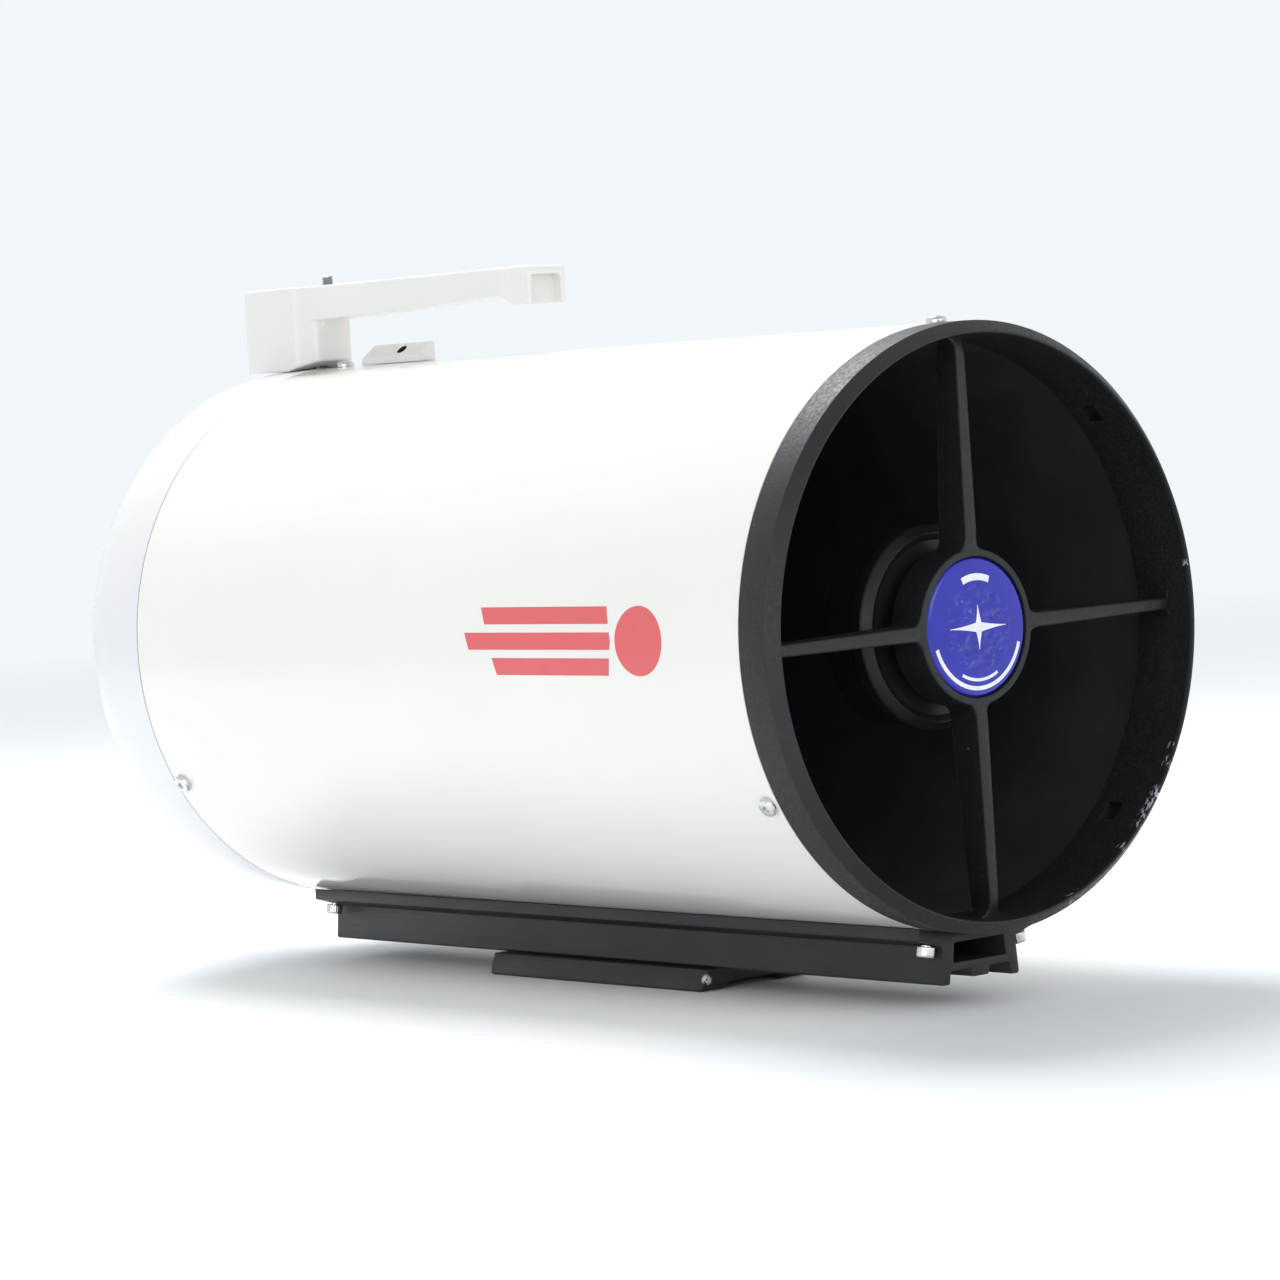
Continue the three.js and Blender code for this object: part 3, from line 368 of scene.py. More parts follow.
def casting_black():
    """Thick satin black paint with a fine wrinkle, rubbed through along the front lip."""
    s = Surface("black_paint", (0.0085, 0.0088, 0.0098), 0.5, Specular_IOR_Level=0.45)
    x, y, z = s.axes()
    up = s.math("SUBTRACT", z, AXIS_Z)
    angle = s.math("ARCTAN2", up, x)
    radius = s.math("SQRT", s.math("ADD", s.math("MULTIPLY", x, x), s.math("MULTIPLY", up, up)))
    lip = s.ramp(y, at(0, -13.6, 0)[1], at(0, -15.2, 0)[1])
    rim = s.ramp(radius, 0.1095, 0.1103)
    around = s.add("ShaderNodeCombineXYZ", {"X": s.math("MULTIPLY", angle, 0.045),
                                            "Y": y, "Z": s.math("MULTIPLY", radius, 0.6)})
    scattered = s.ramp(s.noise(1.5, 3.0, around.outputs[0], rough=0.7), 0.53, 0.57)
    chips = None
    # Patches of chips: place round the lip and width, both in degrees, and strength.
    for centre, width, amount in ((-46, 3.2, 1.0), (-41, 3.4, 1.0), (-32.5, 1.4, 0.9),
                                  (-29, 0.9, 0.8), (-54, 1.2, 0.8), (-72, 0.9, 0.7),
                                  (9, 0.8, 0.7)):
        away = s.math("ABSOLUTE", s.math("SUBTRACT", angle, math.radians(centre)))
        patch = s.ramp(away, math.radians(width), math.radians(width * 0.5), 0.0, amount)
        chips = patch if chips is None else s.math("MAXIMUM", chips, patch)
    mask = s.math("MULTIPLY", s.math("MULTIPLY", chips, scattered), s.math("MULTIPLY", lip, rim))
    speck = s.add("ShaderNodeTexVoronoi", {"Vector": s.coordinates, "Scale": 95.0})
    chance = s.add("ShaderNodeSeparateXYZ", {"Vector": speck.outputs["Color"]}).outputs["X"]
    dust = s.math("MULTIPLY", s.ramp(speck.outputs["Distance"], 0.035, 0.02),
                  s.ramp(chance, 0.72, 0.74))
    mask = s.math("MAXIMUM", mask, s.math("MULTIPLY", dust, 0.55))
    dusty = s.mix(s.ramp(s.noise(22, 4.0), 0.4, 0.75, 0.0, 0.5), s.color + (1,),
                  (0.014, 0.0145, 0.0155, 1))
    s.wire(s.mix(mask, dusty, (0.50, 0.52, 0.55)), "Base Color")
    s.roughness(1.6, 0.42, 0.62)
    s.bump(s.cells(0.9), 0.09, 0.55)
    s.bump(s.noise(0.35, 2.0), 0.03, 0.4)
    return s.mat


def matt_black(name, color):
    """Matt black with a faint grain: the tube's lining, and painted shade on hollows and hidden
    parts.
    """
    s = Surface(name, color, 0.9, Specular_IOR_Level=0.2)
    s.mottle(30, 0.2)
    s.bump(s.noise(0.6, 2.0), 0.04, 0.5)
    return s.mat


def anodised(name, color, roughness, along=True):
    """Anodised aluminium with the fine die lines of an extrusion, or a turned surface."""
    s = Surface(name, color, roughness, 0.35, Specular_IOR_Level=0.4)
    s.mottle(25, 0.10)
    lines = s.stretched((1.0, 0.012, 1.0)) if along else s.stretched((1.0, 1.0, 1.0))
    s.roughness(0.7, roughness * 0.85, roughness * 1.2, lines)
    s.bump(s.noise(0.5, 2.0, lines), 0.012, 0.5)
    s.bump(s.noise(0.22, 1.0), 0.008, 0.4)
    return s.mat


def plate_black():
    """As the rail, but with the bright metal showing where its front corner has been knocked."""
    s = Surface("plate_anodised", (0.030, 0.031, 0.034), 0.4, 0.35, Specular_IOR_Level=0.4)
    low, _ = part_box("dovetail_plate")
    spot = s.add("ShaderNodeVectorMath", {0: s.coordinates, 1: (low[0] + 0.0032, low[1] + 0.0008,
                 low[2] + 0.0048)}, operation="DISTANCE").outputs["Value"]
    worn = s.math("MULTIPLY", s.ramp(spot, 0.0024, 0.0014), s.ramp(s.noise(1.3, 3.0), 0.40, 0.46))
    tone = s.mix(s.ramp(s.noise(25, 3.0), 0.35, 0.65), (0.027, 0.028, 0.031), (0.034, 0.035, 0.038))
    s.wire(s.mix(worn, tone, (0.62, 0.63, 0.65)), "Base Color")
    lines = s.stretched((1.0, 0.012, 1.0))
    s.roughness(0.7, 0.34, 0.5, lines)
    s.bump(s.noise(0.5, 2.0, lines), 0.012, 0.5)
    return s.mat


def metal(name, color, roughness):
    """Turned or plated metal with a fine grain."""
    s = Surface(name, color, roughness, 1.0)
    s.mottle(6, 0.06)
    s.roughness(1.2, roughness * 0.75, roughness * 1.4)
    s.bump(s.noise(0.3, 2.0), 0.006, 0.5)
    return s.mat


def rubbery(name):
    """Matt moulded rubber."""
    s = Surface(name, (0.010, 0.010, 0.011), 0.7, Specular_IOR_Level=0.35)
    s.mottle(12, 0.15)
    s.roughness(2.5, 0.62, 0.82)
    s.bump(s.noise(0.4, 3.0), 0.03, 0.6)
    return s.mat


def coated_glass():
    """The small corrector lens."""
    s = Surface("lens_glass", (0.86, 0.95, 0.93), 0.02, Transmission_Weight=1.0, IOR=1.52)
    s.mottle(40, 0.02)
    s.roughness(15, 0.01, 0.035)
    return s.mat


def mirror_coating():
    """The aluminised mirrors."""
    s = Surface("mirror_glass", (0.88, 0.90, 0.92), 0.03, 1.0)
    s.mottle(60, 0.02)
    s.roughness(20, 0.02, 0.05)
    return s.mat


def badge_gloss():
    """Glossy blue resin over an embossed ground."""
    s = Surface("badge_plastic", (0.014, 0.017, 0.37), 0.2, Coat_Weight=0.35, Coat_Roughness=0.07,
                Specular_IOR_Level=0.4)
    s.mottle(9, 0.10)
    s.roughness(3, 0.12, 0.22)
    s.bump(s.noise(0.5, 2.0), 0.01, 0.4)
    return s.mat


def badge_print():
    """The badge's raised print, nearly white."""
    s = Surface("badge_print", (0.80, 0.81, 0.87), 0.35, Coat_Weight=0.3, Coat_Roughness=0.1)
    s.mottle(4, 0.05)
    s.bump(s.noise(0.3, 2.0), 0.008, 0.4)
    return s.mat


def decal_red():
    """Screen-printed red, slightly uneven."""
    s = Surface("red_print", (0.69, 0.105, 0.112), 0.3, Coat_Weight=0.3, Coat_Roughness=0.1)
    s.mottle(12, 0.02)
    s.roughness(16, 0.28, 0.32)
    s.bump(s.noise(4.0, 2.0), 0.002, 0.3)
    return s.mat


SURFACES = {
    "ivory_paint": enamel("ivory_paint", (0.80, 0.787, 0.74), 0.13, 5.0, 0.012),
    "white_paint": enamel("white_paint", (0.735, 0.737, 0.74), 0.22, 1.3, 0.02, 0.35),
    "black_paint": casting_black(),
    "black_anodised": anodised("black_anodised", (0.016, 0.0165, 0.018), 0.36, along=False),
    "rail_anodised": anodised("rail_anodised", (0.030, 0.031, 0.034), 0.42),
    "bright_steel": metal("bright_steel", (0.70, 0.70, 0.69), 0.2),
    "black_steel": metal("black_steel", (0.10, 0.10, 0.105), 0.38),
    "brass": metal("brass", (0.70, 0.52, 0.24), 0.28),
    "lens_glass": coated_glass(),
    "mirror_glass": mirror_coating(),
    "badge_plastic": badge_gloss(),
    "grip_rubber": rubbery("grip_rubber"),
}
EXTRA = {
    "handle": enamel("handle_paint", (0.755, 0.745, 0.72), 0.30, 14.0, 0.003),
    # The tube's real matt black lining, also laid in the shoe's hole as painted shade.
    "lining_and_shade": matt_black("tube_lining", (0.030, 0.0315, 0.035)),
    # Painted shade: a near-black surface laid where parts sit in shade.
    "shade_black": matt_black("painted_shade_black", (0.005, 0.005, 0.0055)),
    "plate": plate_black(),
    "print": badge_print(),
    "stud": metal("stud_steel", (0.42, 0.42, 0.43), 0.34),
    # Painted highlight: bright metal for the thin ring on the secondary cell's rear edge.
    "glint": metal("painted_glint", (0.55, 0.55, 0.54), 0.3),
    "red": decal_red(),
}
slot_of = {row["node"]: row["material_slot"] for row in frame["record"]["subparts"]}
body_of_node = {
    node: body for body, members in frame["record"]["behaviour"]["bodies"].items()
    for node in members
}

for node, obj in nodes.items():
    surface = SURFACES[slot_of[node]]
    if obj.material_slots:
        obj.material_slots[0].material = surface
    else:
        obj.data.materials.append(surface)


def finish_piece(obj, *stands_for, like=None, surface=None):
    """Gives a piece its material and its body, and hides the CAD nodes that it stands for."""
    node = like or stands_for[0]
    obj.data.materials.clear()
    obj.data.materials.append(surface or SURFACES[slot_of[node]])
    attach(obj, body_of_node[node])
    if stands_for:
        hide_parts(*stands_for)
    return obj


# ---- Tube: enamelled outside, matt black inside ----
def make_tube():
    shell = lathe("tube_shell", [
        (TUBE_R - TUBE_WALL, 0, 0.3),
        (TUBE_R, 0, 0.4),
        (TUBE_R, TUBE_LENGTH, 0.4),
        (TUBE_R - TUBE_WALL, TUBE_LENGTH, 0.3),
    ], segments=256)
    finish_piece(shell, "main_tube")
    darken(shell, lambda x, y, z, r: r < TUBE_R - TUBE_WALL / 2)


PRINT_ANGLE = 178.3            # middle of the red print, degrees round from +X


def tube_print(name, rows):
    """A thin print on the tube's near side. Each row is (height up the side, first y, last y)."""
    verts = []
    for up, first, last in rows:
        angle = math.radians(PRINT_ANGLE) - up / TUBE_R
        for radius, y in ((0.08, first), (0.08, last), (-0.05, last), (-0.05, first)):
            r = TUBE_R + radius
            verts.append(at(r * math.cos(angle), y, r * math.sin(angle)))
    finish_piece(new_object(name, verts, strip_faces(len(rows)), 60), like="main_tube",
                 surface=EXTRA["red"])


def make_print():
    """A disc with three trailing bars, in red."""
    radius, centre = 13.2, 55.0
    ups = [radius * math.sin(math.pi * (i / 28 - 0.5)) for i in range(29)]
    disc = [(up, centre - math.sqrt(radius ** 2 - up ** 2 + 1e-4),
             centre + math.sqrt(radius ** 2 - up ** 2 + 1e-4)) for up in ups]
    tube_print("print_disc", disc)
    for index, (up, rear) in enumerate(((9.8, 146.0), (0.0, 156.0), (-9.8, 140.0))):
        rows = []
        for i in range(9):
            height = up + 6.6 * (i / 8 - 0.5)
            front = 73.0 - 0.16 * (radius - abs(height))
            rows.append((height, front, rear + 0.35 * (height - up)))
        tube_print(f"print_bar_{index + 1}", rows)


# ---- Front ring, four vanes and the hub: one casting ----
VANE_HALF_HUB = 3.0
VANE_HALF_RIM = 2.3
VANE_TURN = 0.8                # the vanes sit a little round from square, degrees
VANE_INNER, VANE_OUTER = 27.4, 112.0       # ends of a vane, buried in the hub and in the ring
VANE_FRONT_Y = -8.6
VANE_REAR_HUB_Y, VANE_REAR_RIM_Y = 7, 2.4
HUB_FILLET = 4.5
RIM_FILLET = 3.2
HUB_R = 30.0
BADGE_R = 26.4
BADGE_FRONT_Y = -8.75
PEBBLES = 300
PEBBLE_SPREAD = 16.0           # the pebbles' middles lie inside this radius
PEBBLED_R = 18.5               # the badge is smooth outside this
STAR_UP, STAR_ACROSS = 8.5, 15.0           # half the star's height and width
RING_BORE = 109.5


def flare(distance, radius):
    """How far a fillet stands out at a distance from the wall that it runs into."""
    if distance >= radius:
        return 0.0
    depth = radius - max(distance, 0.0)
    return radius - math.sqrt(radius ** 2 - depth ** 2)


def vane(quarter):
    """A vane that tapers outwards, has a rounded front edge, and flares into hub and ring."""
    angle = math.radians(90 * quarter + VANE_TURN)
    stations = sorted({
        *[VANE_INNER + 0.5 * i for i in range(16)],
        *[36 + 5 * i for i in range(14)],
        *[102 + 0.6 * i for i in range(17)],
    })
    sections = []
    for u in stations:
        if u > VANE_OUTER:
            continue
        t = (u - HUB_R) / (RING_BORE - HUB_R)
        plain = VANE_HALF_HUB + (VANE_HALF_RIM - VANE_HALF_HUB) * t
        half = plain
        half += flare(u - (HUB_R - 0.8), HUB_FILLET) + flare(RING_BORE + 0.4 - u, RIM_FILLET)
        near_hub = max(0.0, 1 - (u - HUB_R) / 7)
        near_rim = max(0.0, 1 - (RING_BORE + 1 - u) / 9)
        nose = plain - 0.15
        front = VANE_FRONT_Y + 0.9 * min(near_hub, 1.0) ** 2 + 2.2 * min(near_rim, 1.0) ** 2
        rear = VANE_REAR_HUB_Y + (VANE_REAR_RIM_Y - VANE_REAR_HUB_Y) * t
        outline = soften([
            (-half, front + 0.25, nose * 0.75),
            (0.0, front - 0.15, 2.0),
            (half, front + 0.25, nose * 0.75),
            (half, rear, 1.0),
            (-half, rear, 1.0),
        ], 6)
        section = []
        for v, y in outline:
            x = u * math.cos(angle) - v * math.sin(angle)
            z = u * math.sin(angle) + v * math.cos(angle)
            section.append(at(x, y, z))
        sections.append(section)
    return loft(f"vane_{quarter}", sections)


def darken(obj, inside, surface="lining_and_shade"):
    """Gives another surface to the faces whose middles are inside, in millimetres."""
    obj.data.materials.append(EXTRA[surface])
    index = len(obj.data.materials) - 1
    for polygon in obj.data.polygons:
        x, y, z = polygon.center
        x, y, z = x / MM, (y - FRONT_Y) / MM, (z - AXIS_Z) / MM
        if inside(x, y, z, math.hypot(x, z)):
            polygon.material_index = index


def make_front_casting():
    """The ring, the hub and four vanes, with a pocket in the bore between each pair of vanes."""
    ring = lathe("front_casting", [
        (RING_BORE, 10, 0.8),
        (114.0, 10, 0.6),
        (114.0, -0.3),
        (116.0, -0.3, 0.3),
        (116.0, -13.8, 0.8),
        (112.3, -17.5, 0.9),
        (111.9, -17.9, 0.3),
        (111.2, -17.9, 0.4),
        (110.8, -16.4, 0.6),
        (110.5, -4.0),
    ], segments=224)
    hub = lathe("hub", [
        (3.4, 2.0),
        (24.0, 2.0, 1.0),
        (24.0, -5.7, 0.3),
        (26.8, -5.7, 0.2),
        (26.9, -8.0, 0.5),
        (HUB_R - 0.2, -8.0, 1.1),
        (HUB_R, 8.0, 0.8),
        (3.4, 8.0),
    ], segments=128)
    pockets = [spun(block("pocket", (108.0, -3.4, -4.3), (113.3, 4.2, 4.3)), angle)
               for angle in (45, 135, 225, 315)]
    combine(ring, [hub, *[vane(q) for q in range(4)]], "UNION")
    combine(ring, pockets, "DIFFERENCE")
    finish_piece(ring, "front_ring")
    # Painted shade: the deep faces of the pockets are laid near-black.
    darken(ring, lambda x, y, z, r: r > 110.9 and -3.0 < y < 4.1, "shade_black")


def dome(r):
    """How far forward the badge's face is, before its embossing."""
    y = BADGE_FRONT_Y + 1.1 * (r / BADGE_R) ** 2
    if r > 24.6:
        y += 0.8 * ((r - 24.6) / (BADGE_R - 24.6)) ** 2
    return y


def printed(name, rows):
    """A raised print on the badge. Each row is a pair of (x, z) points across its width."""
    verts = []
    for pair in rows:
        for lift, (x, z) in ((0.1, pair[0]), (0.1, pair[1]), (-0.1, pair[1]), (-0.1, pair[0])):
            verts.append(at(x, dome(math.hypot(x, z)) - lift, z))
    finish_piece(new_object(name, verts, strip_faces(len(rows)), 40), like="secondary_badge",
                 surface=EXTRA["print"])


def polar(r, degrees):
    """The (x, z) point at a radius and an angle."""
    return (r * math.cos(math.radians(degrees)), r * math.sin(math.radians(degrees)))


def make_badge():
    """A domed blue badge with a pebbled middle, and a plain star and arcs for its print."""
    rings, around = 84, 208
    random.seed(4)
    bumps = []
    for _ in range(PEBBLES):
        turn, out = random.uniform(0, TAU), PEBBLE_SPREAD * math.sqrt(random.random())
        size, height = random.uniform(0.5, 1.1), random.choice((-1, 1)) * random.uniform(0.15, 0.34)
        bumps.append((out * math.cos(turn), out * math.sin(turn), size, height))
    verts = [at(0, dome(0), 0)]
    for k in range(1, rings + 1):
        r = BADGE_R * k / rings
        for i in range(around):
            x, z = r * math.cos(TAU * i / around), r * math.sin(TAU * i / around)
            lift = 0.0
            if r < PEBBLED_R:
                for bx, bz, size, height in bumps:
                    gap = (0.55 * (x - bx)) ** 2 + (z - bz) ** 2
                    if gap < (2.2 * size) ** 2:
                        lift += height * math.exp(-gap / size ** 2)
            star = min(abs(x) + max(0, abs(z) - STAR_UP), abs(z) + max(0, abs(x) - STAR_ACROSS))
            lift *= min(1, max(0, (star - 1.6) / 1.4))       # flat under the star's arms
            verts.append(at(x, dome(r) - lift, z))
    faces = [(0, 1 + i, 1 + (i + 1) % around) for i in range(around)]
    for k in range(1, rings):
        for i in range(around):
            j = (i + 1) % around
            low, high = 1 + (k - 1) * around, 1 + k * around
            faces.append((low + i, high + i, high + j, low + j))
    skirt = len(verts)
    verts += [at(BADGE_R * math.cos(TAU * i / around), -6.0, BADGE_R * math.sin(TAU * i / around))
              for i in range(around)]
    last = 1 + (rings - 1) * around
    for i in range(around):
        j = (i + 1) % around
        faces.append((last + i, skirt + i, skirt + j, last + j))
    faces.append(tuple(skirt + i for i in range(around)))
    finish_piece(new_object("badge_dome", verts, faces, 50), "secondary_badge")

    steps = [i / 12 for i in range(-12, 13)]
    across = [1.9 * (1 - abs(t)) ** 1.5 + 0.12 for t in steps]
    arms = list(zip(steps, across))
    printed("badge_star_tall", [((-w, STAR_UP * t), (w, STAR_UP * t)) for t, w in arms])
    printed("badge_star_wide", [((STAR_ACROSS * t, w), (STAR_ACROSS * t, -w)) for t, w in arms])
    for name, r0, r1, first, last in (("top", 17.8, 20.4, 68, 112), ("low", 22.4, 24.0, 198, 342),
                                      ("inner", 19.4, 20.6, 242, 298)):
        count = int((last - first) / 3)
        angles = [first + (last - first) * i / count for i in range(count + 1)]
        printed(f"badge_arc_{name}", [(polar(r0, a), polar(r1, a)) for a in angles])


def make_secondary_cell():
    """The cell behind the hub: a bevelled flange. Its rim and the tube behind it are painted
    near-black as painted shade, and one bright edge is a painted highlight.
    """
    cell = lathe("secondary_housing", [
        (3.4, 13.5),
        (33.5, 13.5, 0.5),
        (36.2, 11.7, 0.4),
        (39.0, 14.7, 0.3),
        (39.5, 15.4, 0.3),
        (39.5, 20.0),
        (39.2, 20.4),
        (38.4, 20.9, 0.2),
        (38.4, 36.0, 0.4),
        (37.0, 36.0, 0.2),
        (37.0, 16.8, 0.3),
        (3.4, 16.8),
    ], segments=160)
    finish_piece(cell, "secondary_cell")
    # Painted shade: the flange's rim and all of the cell behind it are laid near-black.
    darken(cell, lambda x, y, z, r: y > 20.5 or (r > 39.3 and 15.5 < y < 19.9), "shade_black")
    # Painted highlight: a thin bright ring on the flange's rear edge stands in for a glint.
    darken(cell, lambda x, y, z, r: r > 39.2 and 20.0 < y < 20.5, "glint")


# ---- Fasteners ----
def cross_head(name, head, height, node, place, outward):
    """A plated pan-head screw with a cross recess. Only its head shows."""
    obj = lathe(name, [
        (0.0, -0.6),
        (head * 0.45, -0.6),
        (head * 0.45, 0.0),
        (head, 0.0, 0.15),
        (head, height * 0.42, 0.5),
        (head * 0.86, height * 0.80, 0.7),
        (head * 0.5, height * 0.97, 0.9),
        (0.0, height),
    ], segments=48)
    arm, wide = head * 0.56, head * 0.17
    cutters = []
    for turn in (35, 125):
        cutter = block("slot", (-arm, height * 0.45, -wide), (arm, height + 1, wide))
        for v in cutter.data.vertices:
            if v.co.y < at(0, height * 0.5, 0).y:
                v.co.x *= 0.35             # a slot is shorter at its bottom
        cutters.append(spun(cutter, turn))
    combine(obj, cutters, "DIFFERENCE")
    turned_to(obj, place, outward)
    return finish_piece(obj, node)


def socket_head(name, head, height, key, node, place, outward, knurls=24):
    """A socket cap screw with a knurled side and a hexagon recess. Only its head shows."""
    def knurl(radius, y, angle):
        if radius > head * 0.97 and 0.3 < y < height - 0.4:
            return radius - 0.10 * (0.5 + 0.5 * math.cos(knurls * angle))
        return radius

    rows = [(head, 0.35 + (height - 0.9) * i / 5) for i in range(6)]
    obj = lathe(name, [
        (0.0, -0.5),
        (head * 0.55, -0.5),
        (head * 0.55, 0.0),
        (head * 0.96, 0.0, 0.1),
        *rows,
        (head * 0.93, height, 0.15),
        (0.0, height),
    ], segments=knurls * 6, wave=knurl)
    hexagon = [(key * math.cos(TAU * i / 6), key * math.sin(TAU * i / 6)) for i in range(6)]
    sections = [[at(x, y, z) for x, z in hexagon] for y in (height * 0.45, height + 1)]
    combine(obj, [loft("key", sections)], "DIFFERENCE")
    turned_to(obj, place, outward)
    return finish_piece(obj, node)


def middle(node):
    """The middle of a node's box."""
    low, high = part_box(node)
    return (low + high) / 2


def radial_direction(place):
    """Straight out from the optical axis through a place."""
    flat = Vector((place.x, 0, place.z - AXIS_Z))
    return flat.normalized()


def make_fasteners():
    for part in ("front_ring_screw", "rear_cell_screw"):
        for index in (1, 2, 3):
            node = f"{part}_{index}"
            centre = middle(node)
            outward = radial_direction(centre)
            seat = Vector((0, centre.y, AXIS_Z)) + outward * (TUBE_R + 0.05) * MM
            cross_head(f"{node}_head", 4.0, 2.6, node, seat, outward)
    for row in ("front", "rear"):
        for index in (1, 2):
            node = f"rail_bolt_{row}_{index}"
            centre = middle(node)
            outward = radial_direction(centre)
            seat = Vector((0, centre.y, AXIS_Z)) + outward * 122.1 * MM
            socket_head(f"{node}_head", 3.5, 4.0, 1.7, node, seat, outward)
    for index in (1, 2, 3):
        node = f"focus_bush_screw_{index}"
        centre = middle(node)
        _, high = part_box(node)
        seat = Vector((centre.x, high.y - 1.6 * MM, centre.z))
        cross_head(f"{node}_head", 2.4, 1.6, node, seat, (0, 1, 0))
    for index in (1, 2):
        node = f"plate_bolt_{index}"
        centre = middle(node)
        low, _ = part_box(node)
        seat = Vector((centre.x, centre.y, low.z + 3.4 * MM))
        socket_head(f"{node}_head", 5.5, 3.4, 2.4, node, seat, (0, 0, -1), 30)


# ---- Rear cell and the visual back ----
def make_rear_cell():
    cell = lathe("rear_casting", [
        (24.0, 418.0),
        (100.0, 418.0, 3.0),
        (110.0, 408.0, 4.0),
        (110.0, 366.0, 0.6),
        (114.1, 366.0, 0.6),
        (114.1, 378.5),
        (116.0, 378.5, 0.4),
        (116.0, 424.0, 21.0),
        (48.0, 424.0, 2.5),
        (44.6, 427.0, 1.2),
        (44.0, 432.0, 1.0),
        (30.4, 432.0, 0.3),
        (30.4, 424.0),
        (24.0, 424.0),
    ], segments=224)
    pad = lathe("pad", [
        (6.3, 422.0),
        (15.0, 422.0),
        (15.0, 427.0, 1.0),
        (6.3, 427.0, 0.2),
    ], segments=72, centre=(-60, 0))
    finish_piece(combine(cell, [pad], "UNION"), "rear_cell")
    darken(cell, lambda x, y, z, r: r < 115.2 and y < 400)


def knurl_wave(edge, depth, teeth, y0, y1):
    """Straight knurling on the rim between y0 and y1."""
    def wave(radius, y, angle):
        if radius > edge * 0.985 and y0 < y < y1:
            return radius - depth * (0.5 + 0.5 * math.cos(teeth * angle))
        return radius
    return wave


def make_visual_back():
    rows = [(38.0, 434.0 + 0.8 * i) for i in range(6)]
    ring = lathe("clamp_ring", [
        (27.0, 427.8),
        (30.1, 427.8),
        (30.1, 432.3),
        (36.8, 432.3, 0.5),
        (37.4, 433.4),
        *rows,
        (37.4, 438.6),
        (36.6, 440.0, 0.6),
        (27.0, 440.0, 0.3),
    ], segments=540, wave=knurl_wave(38.0, 0.45, 90, 433.5, 438.5))
    finish_piece(ring, "visual_back_ring")
    collar = lathe("eyepiece_holder", [
        (25.5, 427.8, 0.2),
        (26.7, 427.8, 0.2),
        (26.7, 440.3),
        (35.0, 440.3, 0.5),
        (35.0, 446.0, 0.8),
        (31.0, 448.0, 1.0),
        (31.0, 459.0, 0.3),
        (30.4, 459.6, 0.3),
        (30.4, 461.0, 0.3),
        (31.0, 461.6, 0.3),
        (31.0, 482.0, 0.9),
        (26.2, 482.0, 0.5),
        (25.5, 480.8, 0.3),
        (25.5, 475.0, 0.2),
        (26.8, 475.0),
        (26.8, 465.0),
        (25.5, 465.0, 0.2),
    ], segments=160)
    finish_piece(collar, "visual_back_adapter")
    for index in (1, 2):
        node = f"thumbscrew_{index}"
        outward = radial_direction(middle(node))
        rows = [(6.5, 10.6 + 0.7 * i) for i in range(9)]
        screw = lathe(f"{node}_knob", [
            (0.0, 0.0),
            (1.5, 0.0, 0.1),
            (2.0, 0.5, 0.1),
            (2.0, 8.6, 0.2),
            (3.4, 9.0, 0.3),
            (3.4, 9.6, 0.1),
            (5.8, 9.6, 0.3),
            *rows,
            (6.5, 16.6),
            (5.8, 17.0, 0.3),
            (3.6, 17.0, 0.3),
            (3.0, 16.6, 0.3),
            (0.0, 16.6),
        ], segments=224, wave=knurl_wave(6.5, 0.45, 28, 10.3, 16.3))
        seat = Vector((0, middle(node).y, AXIS_Z)) + outward * 26.9 * MM
        finish_piece(turned_to(screw, seat, outward), node)


# ---- Focus knob ----
def make_focuser():
    x = middle("focus_screw").x / MM
    bush = lathe("focus_collar", [
        (3.08, 414.0),
        (6.0, 414.0, 0.3),
        (6.0, 427.3),
        (14.5, 427.3, 0.3),
        (14.5, 430.3, 0.7),
        (8.6, 430.3, 0.5),
        (8.0, 431.2, 0.3),
        (8.0, 433.3, 0.5),
        (3.08, 433.3, 0.2),
    ], segments=96, centre=(x, 0))
    finish_piece(bush, "focus_bush")
    knob = lathe("knob_core", [
        (3.3, 438.0, 0.3),
        (16.3, 438.0, 0.5),
        (16.3, 457.5, 1.4),
        (12.6, 457.5, 0.3),
        (12.0, 456.9, 0.3),
        (4.6, 456.9, 0.3),
        (4.6, 452.3, 0.2),
        (3.3, 452.3),
    ], segments=128, centre=(x, 0))
    finish_piece(knob, "focus_knob")
    ridges = 36

    def grip_wave(radius, y, angle):
        if radius > 18.0 and 440.6 < y < 453.4:
            return radius - 0.9 * max(0.0, math.cos(ridges * angle)) ** 0.6
        return radius

    rows = [(19.0, 441.0 + 1.2 * i) for i in range(11)]
    grip = lathe("knob_grip", [
        (16.8, 439.5, 0.3),
        (18.5, 439.5, 0.4),
        (19.0, 440.5),
        *rows,
        (19.0, 453.5),
        (18.5, 454.5, 0.4),
        (16.8, 454.5, 0.3),
    ], segments=ridges * 12, centre=(x, 0), wave=grip_wave)
    finish_piece(grip, "focus_knob_grip")
    seat = Vector((x * MM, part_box("focus_knob_bolt")[1].y - 2.4 * MM, AXIS_Z))
    socket_head("focus_knob_bolt_head", 4.0, 2.4, 1.5, "focus_knob_bolt", seat, (0, 1, 0))


# ---- Optics that show through the open front ----
def make_optics():
    baffle = lathe("baffle", [
        (19.8, 165.0, 0.2),
        (21.5, 165.0, 0.2),
        (21.5, 424.3),
        (30.0, 424.3),
        (30.0, 427.5, 0.3),
        (19.8, 427.5, 0.3),
    ], segments=128)
    finish_piece(baffle, "baffle_tube")
    curve, edge, hole = 1000.0, 100.0, 30.0
    sag = curve - math.sqrt(curve ** 2 - edge ** 2)
    radii = [hole + (edge - hole) * i / 24 for i in range(25)]
    face = [(r, 338.0 + sag * (1 - (r / edge) ** 2)) for r in radii]
    mirror = lathe("main_mirror", [*face, (edge, 361.0, 0.8), (hole, 361.0, 0.4)], segments=192)
    finish_piece(mirror, "primary_mirror")


